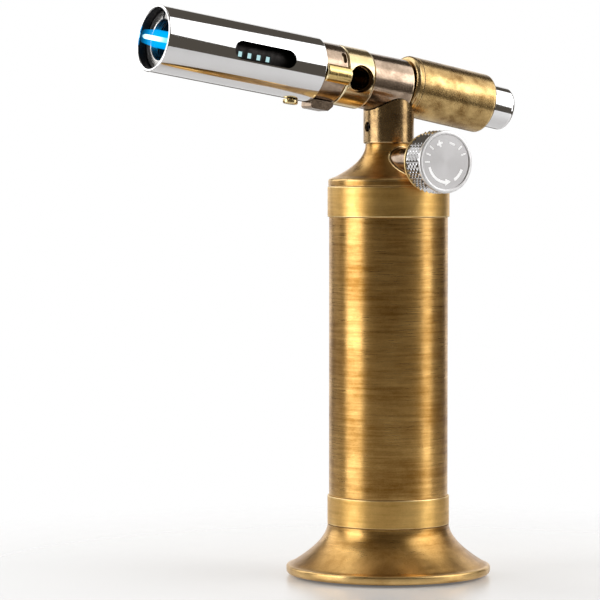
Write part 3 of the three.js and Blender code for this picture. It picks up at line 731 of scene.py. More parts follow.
    def blend(self, share: bpy.types.NodeSocket, first: object, second: object) -> bpy.types.NodeSocket:
        """Mixes two colours.

        Args:
            share: 0 for the first colour, 1 for the second.
            first: a colour or a socket.
            second: a colour or a socket.

        Returns:
            The mixed colour.
        """
        made = self.node("ShaderNodeMix", data_type="RGBA")
        self.link(share, made.inputs["Factor"])
        for slot, value in ((made.inputs[6], first), (made.inputs[7], second)):
            if isinstance(value, bpy.types.NodeSocket):
                self.link(value, slot)
            else:
                slot.default_value = (*value, 1)
        return made.outputs[2]

    def bump(self, height: bpy.types.NodeSocket, depth: float,
             below: Optional[bpy.types.NodeSocket] = None) -> bpy.types.NodeSocket:
        """Bends the normal by a height.

        Args:
            height: height between 0 and 1.
            depth: what a height of 1 is in millimetres.
            below: a normal that is already bent.

        Returns:
            The bent normal.
        """
        made = self.node("ShaderNodeBump")
        made.inputs["Strength"].default_value = 1.0
        made.inputs["Distance"].default_value = depth * MM
        self.link(height, made.inputs["Height"])
        if below is not None:
            self.link(below, made.inputs["Normal"])
        return made.outputs["Normal"]

    def worn_and_highlit(self) -> bpy.types.NodeSocket:
        """Returns the edge attribute, which is 1 on rounded outer edges, where the edge colour paints rubbed
        metal and a painted highlight.
        """
        made = self.node("ShaderNodeAttribute", attribute_name=WEAR_AND_HIGHLIGHT)
        return made.outputs["Fac"]


@dataclass(frozen=True)
class MetalFinish:
    """A metal surface with lines or pits, dark patina and brighter rounded edges: partly rubbed metal, partly
    a painted edge highlight.
    """

    name: str
    light: Colour
    dark: Colour
    # colour of the rounded outer edges: rubbed metal and a painted edge highlight
    edge: Colour
    roughness: float
    grain: Grain
    spread: float = 0.12           # how much the roughness varies
    line_pitch: float = 0.22       # millimetres between the main lines
    line_depth: float = 0.004      # millimetres
    patina: float = 0.35           # share of the dark colour
    patina_size: float = 9.0       # millimetres
    pit_size: float = 0.5
    pit_depth: float = 0.0
    stretch: float = 0.0           # anisotropy of the highlight

    def material(self) -> bpy.types.Material:
        """Builds the material the first time that it is asked for.

        Returns:
            The material.
        """
        found = bpy.data.materials.get(f"finish_{self.name}")
        if found is not None:
            return found
        sheet = Sheet(f"finish_{self.name}")
        place = sheet.place()
        shader = sheet.node("ShaderNodeBsdfPrincipled")
        sheet.link(shader.outputs[0], sheet.output.inputs[0])
        shader.inputs["Metallic"].default_value = 1.0
        lines, broad = self.lines(sheet, place)
        stain = sheet.noise(place, 1 / self.patina_size, 5, 0.62)
        mottle = sheet.noise(place, 1.4 / self.pit_size, 2, 0.5)
        share = sheet.math("ADD", sheet.ranged(stain, 0.35, 0.7, 0, self.patina),
                           sheet.ranged(broad, 0.35, 0.68, 0, self.patina * 0.8))
        share = sheet.math("ADD", share, sheet.ranged(mottle, 0.3, 0.75, 0, self.patina * 0.35))
        colour = sheet.blend(sheet.math("MINIMUM", share, 1.0), self.light, self.dark)
        # rounded outer edges take the edge colour, patchy with the stain: rubbed metal and a painted edge
        # highlight
        worn_and_highlit = sheet.math("MULTIPLY", sheet.worn_and_highlit(), sheet.ranged(stain, 0.3, 0.62, 0.95, 0.35))
        colour = sheet.blend(worn_and_highlit, colour, self.edge)
        sheet.link(colour, shader.inputs["Base Color"])
        rough = sheet.math("ADD", sheet.ranged(lines, 0.3, 0.7, -self.spread, self.spread),
                           sheet.ranged(stain, 0.3, 0.7, -self.spread * 0.5, self.spread * 0.5))
        rough = sheet.math("ADD", rough, self.roughness)
        sheet.link(sheet.math("MAXIMUM", rough, 0.03), shader.inputs["Roughness"])
        normal = sheet.bump(lines, self.line_depth)
        if self.pit_depth > 0:
            normal = sheet.bump(self.pits(sheet, place), self.pit_depth, below=normal)
        sheet.link(normal, shader.inputs["Normal"])
        if self.stretch > 0:
            shader.inputs["Anisotropic"].default_value = self.stretch
            tangent = sheet.node("ShaderNodeTangent", direction_type="RADIAL", axis="Z")
            shader.inputs["Anisotropic Rotation"].default_value = 0.25 if self.grain is Grain.AROUND else 0.0
            sheet.link(tangent.outputs[0], shader.inputs["Tangent"])
        return sheet.material

    def lines(self, sheet: Sheet, place: bpy.types.NodeSocket) -> tuple:
        """Adds the marks for this finish's grain.

        Args:
            sheet: the material's node tree.
            place: local place in millimetres.

        Returns:
            The fine and the broad marks.
        """
        pitch = 1 / self.line_pitch
        if self.grain is Grain.AROUND:
            return (sheet.noise(sheet.turning(place, pitch, 1.6), 1, 5, 0.75),
                    sheet.noise(sheet.turning(place, pitch / 3.5, 0.9), 1, 4, 0.7))
        if self.grain is Grain.ALONG:
            return (sheet.noise(sheet.stretched(place, (pitch, pitch, 0.05)), 1, 4, 0.7),
                    sheet.noise(sheet.stretched(place, (pitch / 4, pitch / 4, 0.03)), 1, 3, 0.6))
        if self.grain is Grain.CAST:
            return sheet.noise(place, pitch, 4, 0.7), sheet.noise(place, pitch / 8, 3, 0.6)
        return (sheet.noise(sheet.stretched(place, (0.5, 0.5, 0.08)), 1, 4, 0.7),
                sheet.noise(place, 0.12, 2, 0.5))

    def pits(self, sheet: Sheet, place: bpy.types.NodeSocket) -> bpy.types.NodeSocket:
        """Adds small round pits.

        Args:
            sheet: the material's node tree.
            place: local place in millimetres.

        Returns:
            Their height between 0 and 1.
        """
        cells = sheet.node("ShaderNodeTexVoronoi")
        cells.inputs["Scale"].default_value = 1 / self.pit_size
        sheet.link(place, cells.inputs["Vector"])
        return sheet.ranged(cells.outputs["Distance"], 0.05, 0.4, 0, 1)


@dataclass(frozen=True)
class PlainFinish:
    """Rubber, plastic, ceramic, felt or a lead's sleeve: mottled colour, fine grain, soft gloss."""

    name: str
    light: Colour
    dark: Colour
    roughness: float
    grain_size: float = 0.4        # millimetres
    grain_depth: float = 0.01
    fibre: float = 1.0             # above 1 the grain is drawn out along local z
    glow: float = 0.0              # painted glow: light that the surface gives off though it is no lamp

    def material(self) -> bpy.types.Material:
        """Builds the material the first time that it is asked for.

        Returns:
            The material.
        """
        found = bpy.data.materials.get(f"finish_{self.name}")
        if found is not None:
            return found
        sheet = Sheet(f"finish_{self.name}")
        place = sheet.stretched(sheet.place(), (1, 1, 1 / self.fibre))
        shader = sheet.node("ShaderNodeBsdfPrincipled")
        sheet.link(shader.outputs[0], sheet.output.inputs[0])
        grain = sheet.noise(place, 1 / self.grain_size, 4, 0.65)
        cloud = sheet.noise(place, 0.15, 3, 0.5)
        share = sheet.math("ADD", sheet.ranged(grain, 0.3, 0.7, 0, 0.5),
                           sheet.ranged(cloud, 0.3, 0.7, 0, 0.5))
        sheet.link(sheet.blend(share, self.light, self.dark), shader.inputs["Base Color"])
        rough = sheet.math("ADD", sheet.ranged(cloud, 0.3, 0.7, -0.07, 0.07), self.roughness)
        sheet.link(rough, shader.inputs["Roughness"])
        sheet.link(sheet.bump(grain, self.grain_depth), shader.inputs["Normal"])
        # painted glow: emission that makes the surface brighter than its lighting
        if self.glow > 0:
            shader.inputs["Emission Color"].default_value = (1, 1, 1, 1)
            shader.inputs["Emission Strength"].default_value = self.glow
        return sheet.material


Finish = Union[MetalFinish, PlainFinish]


class Finishes:
    """The torch's finishes, named for where they are used."""

    # the third colour of each metal is its edge colour: rubbed metal and a painted edge highlight
    antique = MetalFinish("antique_brass", (0.80, 0.50, 0.175), (0.33, 0.16, 0.032), (0.86, 0.60, 0.26),
                          0.33, Grain.AROUND, spread=0.1, line_pitch=0.34, line_depth=0.01,
                          patina=0.62, patina_size=16, stretch=0.5)
    collar = MetalFinish("collar_brass", (0.90, 0.585, 0.20), (0.50, 0.27, 0.06), (1.0, 0.80, 0.42),
                         0.40, Grain.AROUND, spread=0.1, line_pitch=0.35, line_depth=0.01,
                         patina=0.45, stretch=0.35)
    satin = MetalFinish("satin_brass", (0.63, 0.44, 0.19), (0.22, 0.125, 0.04), (0.84, 0.62, 0.32),
                        0.25, Grain.CAST, spread=0.07, line_pitch=0.45, line_depth=0.007, patina=0.55,
                        patina_size=7, pit_size=0.55, pit_depth=0.010)
    neck = MetalFinish("neck_brass", (0.62, 0.42, 0.195), (0.16, 0.095, 0.045), (0.85, 0.62, 0.33),
                       0.24, Grain.CAST, spread=0.08, line_pitch=0.4, line_depth=0.008, patina=0.5,
                       patina_size=8, pit_size=0.5, pit_depth=0.009)
    ring = MetalFinish("ring_brass", (0.80, 0.63, 0.36), (0.46, 0.32, 0.12), (1.0, 0.88, 0.60),
                       0.2, Grain.CAST, spread=0.06, line_pitch=0.4, line_depth=0.004, patina=0.3,
                       patina_size=7, pit_size=0.5, pit_depth=0.006)
    bright = MetalFinish("bright_brass", (0.80, 0.58, 0.24), (0.44, 0.29, 0.09), (1.0, 0.86, 0.52),
                         0.22, Grain.AROUND, line_pitch=0.2, line_depth=0.003, patina=0.22)
    bronze = MetalFinish("bronze", (0.50, 0.385, 0.29), (0.15, 0.10, 0.065), (0.85, 0.66, 0.42),
                         0.18, Grain.CAST, spread=0.06, line_pitch=0.4, line_depth=0.003, patina=0.42,
                         patina_size=7, pit_size=0.5, pit_depth=0.005)
    chrome = MetalFinish("chrome", (0.80, 0.80, 0.81), (0.66, 0.65, 0.66), (0.95, 0.95, 0.95),
                         0.05, Grain.POLISHED, spread=0.02, line_depth=0.0006, patina=0.12, patina_size=20)
    steel = MetalFinish("steel", (0.56, 0.55, 0.54), (0.30, 0.29, 0.28), (0.85, 0.84, 0.82),
                        0.28, Grain.AROUND, line_pitch=0.25, patina=0.35)
    burnt = MetalFinish("burnt_steel", (0.055, 0.05, 0.048), (0.02, 0.018, 0.018), (0.2, 0.19, 0.18),
                        0.45, Grain.AROUND, line_pitch=0.5, line_depth=0.01, patina=0.6)
    spring = MetalFinish("spring_steel", (0.60, 0.61, 0.62), (0.34, 0.34, 0.35), (0.9, 0.9, 0.9),
                         0.22, Grain.CAST, line_pitch=0.3, patina=0.25)
    face = MetalFinish("satin_face", (0.66, 0.65, 0.655), (0.56, 0.55, 0.555), (0.98, 0.98, 0.98),
                       0.42, Grain.AROUND, spread=0.05, line_pitch=0.18, line_depth=0.0015,
                       patina=0.15, stretch=0.2)
    rubber = PlainFinish("black_rubber", (0.022, 0.022, 0.023), (0.010, 0.010, 0.011), 0.72, 0.35, 0.03)
    ceramic = PlainFinish("ceramic", (0.80, 0.76, 0.67), (0.66, 0.61, 0.52), 0.35, 0.25, 0.008)
    black = PlainFinish("black_plastic", (0.020, 0.021, 0.023), (0.010, 0.010, 0.012), 0.42, 0.5, 0.012)
    tank = PlainFinish("tank_plastic", (0.72, 0.70, 0.60), (0.60, 0.57, 0.48), 0.36, 0.6, 0.01)
    felt = PlainFinish("felt", (0.62, 0.57, 0.46), (0.40, 0.35, 0.27), 0.9, 0.2, 0.08, 4)
    lead = PlainFinish("lead_sleeve", (0.42, 0.035, 0.022), (0.26, 0.018, 0.012), 0.38, 0.3, 0.008)
    # the dial marks carry a painted glow, so they stay brighter than the lamps alone make them
    mark = PlainFinish("dial_mark_painted_glow", (0.97, 0.97, 0.97), (0.93, 0.93, 0.93), 0.4, 0.15, 0.003,
                       glow=0.45)


# ------------------------------------------------------------------ the frame and its pieces
@dataclass
class Bench:
    """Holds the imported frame, and sets each finished piece on its axis and body."""

    frame: dict
    tank: Axis = field(init=False)
    burner: Axis = field(init=False)
    ignition: Axis = field(init=False)
    valve: Axis = field(init=False)
    burner_height: float = 156.57
    burner_tilt: float = 8.67
    ignition_height: float = 157.79
    ignition_tilt: float = 10.43
    valve_height: float = VALVE_HEIGHT

    def __post_init__(self) -> None:
        """Reads where the four axes are from the frame's tank sleeve and pad."""
        low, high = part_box("tank_sleeve")
        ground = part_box("base_pad")[0].z
        foot = Vector(((low.x + high.x) / 2, (low.y + high.y) / 2, ground))
        up = Vector((0, 0, MM))
        across, deep, rise = Vector((1, 0, 0)), Vector((0, 1, 0)), Vector((0, 0, 1))
        self.tank = Axis(foot, across, deep, rise)
        self.burner = Axis.leaning(foot + up * self.burner_height, self.burner_tilt)
        self.ignition = Axis.leaning(foot + up * self.ignition_height, self.ignition_tilt)
        self.valve = Axis(foot + up * self.valve_height, across, rise, -deep)
        bodies = self.frame["record"]["behaviour"]["bodies"]
        self.owner = {node: body for body, members in bodies.items() for node in members}
        self.slots = {part["node"]: part["material_slot"] for part in self.frame["record"]["subparts"]}

    def fit(self, node: str, mesh: bpy.types.Mesh, axis: Axis, finish: Finish,
            inner: Optional[Finish] = None,
            inside: Optional[Callable[[Vector], bool]] = None) -> bpy.types.Object:
        """Sets a finished piece in place of its CAD node.

        Args:
            node: the CAD node that the piece stands for.
            mesh: the piece in local millimetres.
            axis: the axis that it was made round.
            finish: its finish.
            inner: a second finish for part of the piece.
            inside: says of a face's middle, in local millimetres, whether it has the second finish.

        Returns:
            The new object.
        """
        piece = self.add(f"finished_{node}", mesh, axis, finish, self.owner[node])
        if inner is not None and inside is not None:
            piece.data.materials.append(inner.material())
            for face in piece.data.polygons:
                face.material_index = 1 if inside(face.center / MM) else 0
        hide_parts(node)
        return piece

    def add(self, name: str, mesh: bpy.types.Mesh, axis: Axis, finish: Finish,
            body: str) -> bpy.types.Object:
        """Makes an object and lets it ride on a body.

        Args:
            name: the object's name.
            mesh: the piece in local millimetres.
            axis: the axis that it was made round.
            finish: its finish.
            body: the body that carries it.

        Returns:
            The new object.
        """
        mesh.transform(Matrix.Scale(MM, 4))
        mesh.name = name
        piece = linked(name, mesh)
        piece.matrix_world = axis.matrix()
        mesh.materials.clear()
        mesh.materials.append(finish.material())
        for face in mesh.polygons:
            face.material_index = 0
        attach(piece, body)
        log.info("%s rides on %s, %d faces", name, body, len(mesh.polygons))
        return piece

    def dress(self, finish: Finish, *nodes: str) -> None:
        """Gives a finish to CAD nodes that keep their shape.

        Args:
            finish: the finish.
            nodes: the CAD nodes' names.
        """
        for node in nodes:
            mesh = self.frame["nodes"][node].data
            mesh.materials.clear()
            mesh.materials.append(finish.material())
            for face in mesh.polygons:
                face.material_index = 0
            log.info("%s keeps its CAD shape in %s", node, finish.name)


# ------------------------------------------------------------------ tank
@dataclass
class Tank:
    """Foot, collars, sleeve, shoulder and neck on the tank axis, in millimetres."""

    foot_rim: float = 32.7
    foot_bottom: float = 0.5
    foot_rim_top: float = 3.2
    foot_wide: Station = (31.4, 3.5)
    foot_narrow: Station = (19.5, 16.1)
    foot_power: float = 1.75
    foot_wall: float = 2.4
    foot_recess: float = 29.3
    foot_top: float = 16.34
    pad_outer: float = 28.9
    pad_hole: float = 9.0
    pad_height: float = 2.4
    grooves: int = 3
    groove_first: float = 24.5
    groove_pitch: float = 5.0
    groove_width: float = 1.4
    groove_depth: float = 0.35
    spigot: float = 16.6
    spigot_bore: float = 14.5
    spigot_top: float = 20.5
    socket: float = 16.9
    collar: float = 19.5
    collar_bore: float = 15.6
    collar_edge: float = 0.35
    lower_span: Span = (16.4, 25.6)
    lower_step: float = 20.8
    upper_span: Span = (114.6, 124.4)
    upper_step: float = 120.0
    sleeve: float = 19.0
    sleeve_bore: float = 17.6
    sleeve_span: Span = (25.66, 114.54)
    sleeve_spigot: float = 17.3
    sleeve_spigot_length: float = 5.0
    shoulder_rim: float = 19.3
    shoulder_rim_span: Span = (124.46, 126.6)
    shoulder_wide: Station = (17.2, 127.4)
    shoulder_narrow: Station = (7.4, 137.9)
    shoulder_power: float = 2.1
    shoulder_bore: float = 14.2
    shoulder_end: float = 120.3
    riser_hole: float = 3.6
    valve_height: float = VALVE_HEIGHT
    valve_hole: float = 5.0
    valve_rim_bead: float = 0.27
    neck: float = 8.1
    neck_bore: float = 5.6
    neck_span: Span = (137.96, 156.0)
    burner_seat: float = 9.3
    ignition_seat: float = 9.87
    screw: float = 1.3
    screw_hole: float = 1.6
    screw_span: Span = (5.5, 7.2)
    screw_socket: float = 0.7
    screw_height: float = 143.3

    def build(self, bench: Bench) -> None:
        """Makes every outer piece of the tank.

        Args:
            bench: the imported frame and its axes.
        """
        axis = bench.tank
        bench.fit("base_foot", self.foot(), axis, Finishes.antique)
        bench.fit("base_pad", self.pad(), axis, Finishes.rubber)
        bench.fit("lower_collar", self.lower_collar(), axis, Finishes.collar)
        bench.fit("tank_sleeve", self.tube(), axis, Finishes.antique)
        bench.fit("upper_collar", self.upper_collar(), axis, Finishes.collar)
        bench.fit("shoulder", self.shoulder(), axis, Finishes.antique)
        rim = bench.add("valve_hole_rim", self.valve_rim(), axis, Finishes.ring, bench.owner["shoulder"])
        bench.fit("neck", self.neck_sleeve(bench), axis, Finishes.neck)
        bench.fit("neck_grub_screw", self.grub_screw(), axis, Finishes.burnt)
        bench.dress(Finishes.tank, "fuel_tank", "fuel_tank_lid")
        bench.dress(Finishes.bright, "feed_tube", "gas_riser")
        bench.dress(Finishes.felt, "feed_wick")

    def foot(self) -> bpy.types.Mesh:
        """Makes the spun foot, hollow underneath, with a rolled rim.

        Returns:
            Its mesh, in local millimetres.
        """
        under = flare(self.foot_wide, (self.foot_narrow[0], self.foot_narrow[1] - self.foot_wall),
                      self.foot_power, 20, self.foot_wall)
        return turned([
            (self.foot_recess, self.foot_bottom, 0.3),
            (self.foot_rim, self.foot_bottom, 1.25),
            (self.foot_rim, self.foot_rim_top, 1.35),
            *flare(self.foot_wide, self.foot_narrow, self.foot_power),
            (self.foot_narrow[0], self.foot_top), (self.spigot, self.foot_top),
            (self.spigot, self.spigot_top, 0.3),
            (self.spigot_bore, self.spigot_top, 0.3),
            (self.spigot_bore, under[-1][1]),
            *under[::-1],
            (self.foot_recess, self.foot_wide[1]),
        ], 192)

    def pad(self) -> bpy.types.Mesh:
        """Makes the rubber pad, with shallow rings moulded underneath.

        Returns:
            Its mesh, in local millimetres.
        """
        rings = []
        for k in range(self.grooves):
            outer = self.groove_first - self.groove_pitch * k
            inner = outer - self.groove_width
            rings += [(outer, 0), (outer - self.groove_depth, self.groove_depth),
                      (inner + self.groove_depth, self.groove_depth), (inner, 0)]
        return turned([
            (self.pad_outer, self.pad_height, 0.3), (self.pad_hole, self.pad_height, 0.3),
            (self.pad_hole, 0, 0.5), *rings[::-1], (self.pad_outer, 0, 0.6),
        ], 144)

    def lower_collar(self) -> bpy.types.Mesh:
        """Makes the turned collar between the foot and the sleeve.

        Returns:
            Its mesh, in local millimetres.
        """
        bottom, top = self.lower_span
        end = top + self.sleeve_spigot_length
        return turned([
            (self.socket, bottom), (self.collar, bottom, self.collar_edge),
            (self.collar, top, self.collar_edge), (self.sleeve_spigot, top, 0.1),
            (self.sleeve_spigot, end, 0.3), (self.collar_bore, end, 0.3),
            (self.collar_bore, self.lower_step), (self.socket, self.lower_step),
        ], 192)

    def tube(self) -> bpy.types.Mesh:
        """Returns the brushed tube round the fuel tank."""
        return tubed(self.sleeve_bore, self.sleeve, self.sleeve_span, (0.15, 0.2, 0.2, 0.15), 192)

    def upper_collar(self) -> bpy.types.Mesh:
        """Makes the turned collar under the shoulder.

        Returns:
            Its mesh, in local millimetres.
        """
        bottom, top = self.upper_span
        end = bottom - self.sleeve_spigot_length
        return turned([
            (self.collar_bore, end, 0.3), (self.sleeve_spigot, end, 0.3), (self.sleeve_spigot, bottom, 0.1),
            (self.collar, bottom, self.collar_edge), (self.collar, top, self.collar_edge),
            (self.socket, top, 0.2), (self.socket, self.upper_step), (self.collar_bore, self.upper_step),
        ], 192)

    def shoulder(self) -> bpy.types.Mesh:
        """Makes the spun shoulder with the gas valve's hole cut into its front.

        Returns:
            Its mesh, in local millimetres.
        """
        bottom, rim_top = self.shoulder_rim_span
        end, top = self.shoulder_end, self.shoulder_narrow[1]
        shell = turned([
            (self.shoulder_bore, end, 0.2), (self.spigot, end, 0.3), (self.spigot, bottom),
            (self.shoulder_rim, bottom, 0.25), (self.shoulder_rim, rim_top, 0.8), (17.9, 127.2),
            *flare(self.shoulder_wide, self.shoulder_narrow, self.shoulder_power),
            (self.riser_hole, top, 0.3), (self.riser_hole, 128.0, 0.5), (self.shoulder_bore, 124.9),
        ], 192)
        bore = rod(self.valve_hole, -6.3, 24, 72)
        return carved(shell, moved(bore, crossing(self.valve_height, "X", 90)))

    def valve_rim(self) -> bpy.types.Mesh:
        """Makes the fine bead round the edge of the valve's hole in the flared shoulder.

        Returns:
            Its mesh, in local millimetres.
        """
        wide, narrow = self.shoulder_wide, self.shoulder_narrow
        path = []
        for k in range(97):
            angle = math.tau * k / 96
            x, z = self.valve_hole * math.cos(angle), self.valve_height + self.valve_hole * math.sin(angle)
            share = min(max((narrow[1] - z) / (narrow[1] - wide[1]), 0), 1)
            radius = narrow[0] + (wide[0] - narrow[0]) * share ** self.shoulder_power
            path.append(Vector((x, -math.sqrt(radius ** 2 - x ** 2), z)))
        return swept(path, self.valve_rim_bead, 8)

    def neck_sleeve(self, bench: Bench) -> bpy.types.Mesh:
        """Makes the neck sleeve, cut to seat the burner body and the ignition housing.

        Args:
            bench: where the burner and ignition axes are.

        Returns:
            The mesh.
        """
        bottom, top = self.neck_span
        blank = turned([
            (self.neck_bore, bottom, 0.3), (self.neck, bottom, 0.55), (self.neck, top), (self.neck_bore, top),
        ], 128)
        to_tank = bench.tank.matrix().inverted()
        seats = []
        for axis, radius, front in ((bench.burner, self.burner_seat, 30),
                                    (bench.ignition, self.ignition_seat, -4.7)):
            local = to_tank @ axis.matrix()
            local.translation = local.translation / MM
            seats.append(moved(rod(radius, -30, front, 128), local))
        hole = moved(rod(self.screw_hole, 3, 12, 40), crossing(self.screw_height, "Y", -90))
        return carved(blank, *seats, hole)

    def grub_screw(self) -> bpy.types.Mesh:
        """Makes the neck's grub screw, with a hexagon socket in its end.

        Returns:
            Its mesh, in local millimetres.
        """
        start, end = self.screw_span
        blank = turned([(0, start), (self.screw, start, 0.2), (self.screw, end, 0.2), (0, end)], 48)
        socket = extruded(hexagon(self.screw_socket), end - 1.1, end + 1.8)
        return moved(carved(blank, socket), crossing(self.screw_height, "Y", -90))


@dataclass
class FillValve:
    """The refill valve in the base, in millimetres."""

    barrel: float = 4.0
    barrel_span: Span = (10.0, 26.0)
    flange: float = 6.5
    flange_span: Span = (17.4, 19.7)
    bore: float = 2.4
    bore_span: Span = (11.5, 23.0)
    stem_hole: float = 1.2
    stem: float = 0.9
    stem_span: Span = (7.4, 22.6)
    stem_bore: float = 0.3
    stem_head: float = 2.1
    stem_head_span: Span = (11.8, 13.3)
    gasket: float = 5.6
    gasket_bore: float = 4.3
    gasket_span: Span = (15.8, 17.1)
    spring_radius: float = 1.75
    spring_wire: float = 0.24
    spring_turns: float = 7
    spring_from: float = 13.9
    spring_to: float = 22.4
    travel: float = 1.8

    def build(self, bench: Bench) -> None:
        """Makes the valve's body, stem, spring and gasket.

        Args:
            bench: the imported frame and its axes.
        """
        axis = bench.tank
        bench.fit("fill_valve_body", self.body(), axis, Finishes.bright)
        bench.fit("fill_valve_stem", self.hollow_stem(), axis, Finishes.steel)
        coil = swept(helix(self.spring_radius, self.spring_from, self.spring_to, self.spring_turns),
                     self.spring_wire)
        spring = bench.fit("fill_valve_spring", coil, axis, Finishes.spring)
        tuple(axis.along)
        tuple(axis.point(0, 0, self.spring_to))
        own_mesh(spring)
        gasket = tubed(self.gasket_bore, self.gasket, self.gasket_span, (0.2, 0.4, 0.4, 0.2), 96)
        bench.fit("fill_valve_gasket", gasket, axis, Finishes.rubber)

    def body(self) -> bpy.types.Mesh:
        """Makes the valve's body with its flange and stepped bore.

        Returns:
            Its mesh, in local millimetres.
        """
        bottom, top = self.barrel_span
        flange_low, flange_high = self.flange_span
        bore_low, bore_high = self.bore_span
        return turned([
            (self.stem_hole, bottom, 0.25), (self.barrel, bottom, 0.5), (self.barrel, flange_low),
            (self.flange, flange_low, 0.3), (self.flange, flange_high, 0.3), (self.barrel, flange_high),
            (self.barrel, top, 0.3), (self.stem_hole, top, 0.2), (self.stem_hole, bore_high),
            (self.bore, bore_high), (self.bore, bore_low), (self.stem_hole, bore_low),
        ], 96)

    def hollow_stem(self) -> bpy.types.Mesh:
        """Makes the stem, bored from below, with the head that closes the valve.

        Returns:
            Its mesh, in local millimetres.
        """
        bottom, top = self.stem_span
        head_low, head_high = self.stem_head_span
        return turned([
            (0, top), (self.stem, top, 0.2), (self.stem, head_high), (self.stem_head, head_high, 0.15),
            (self.stem_head, head_low, 0.15), (self.stem, head_low), (self.stem, bottom, 0.25),
            (self.stem_bore, bottom, 0.1), (self.stem_bore, head_low), (0, head_low),
        ], 48)


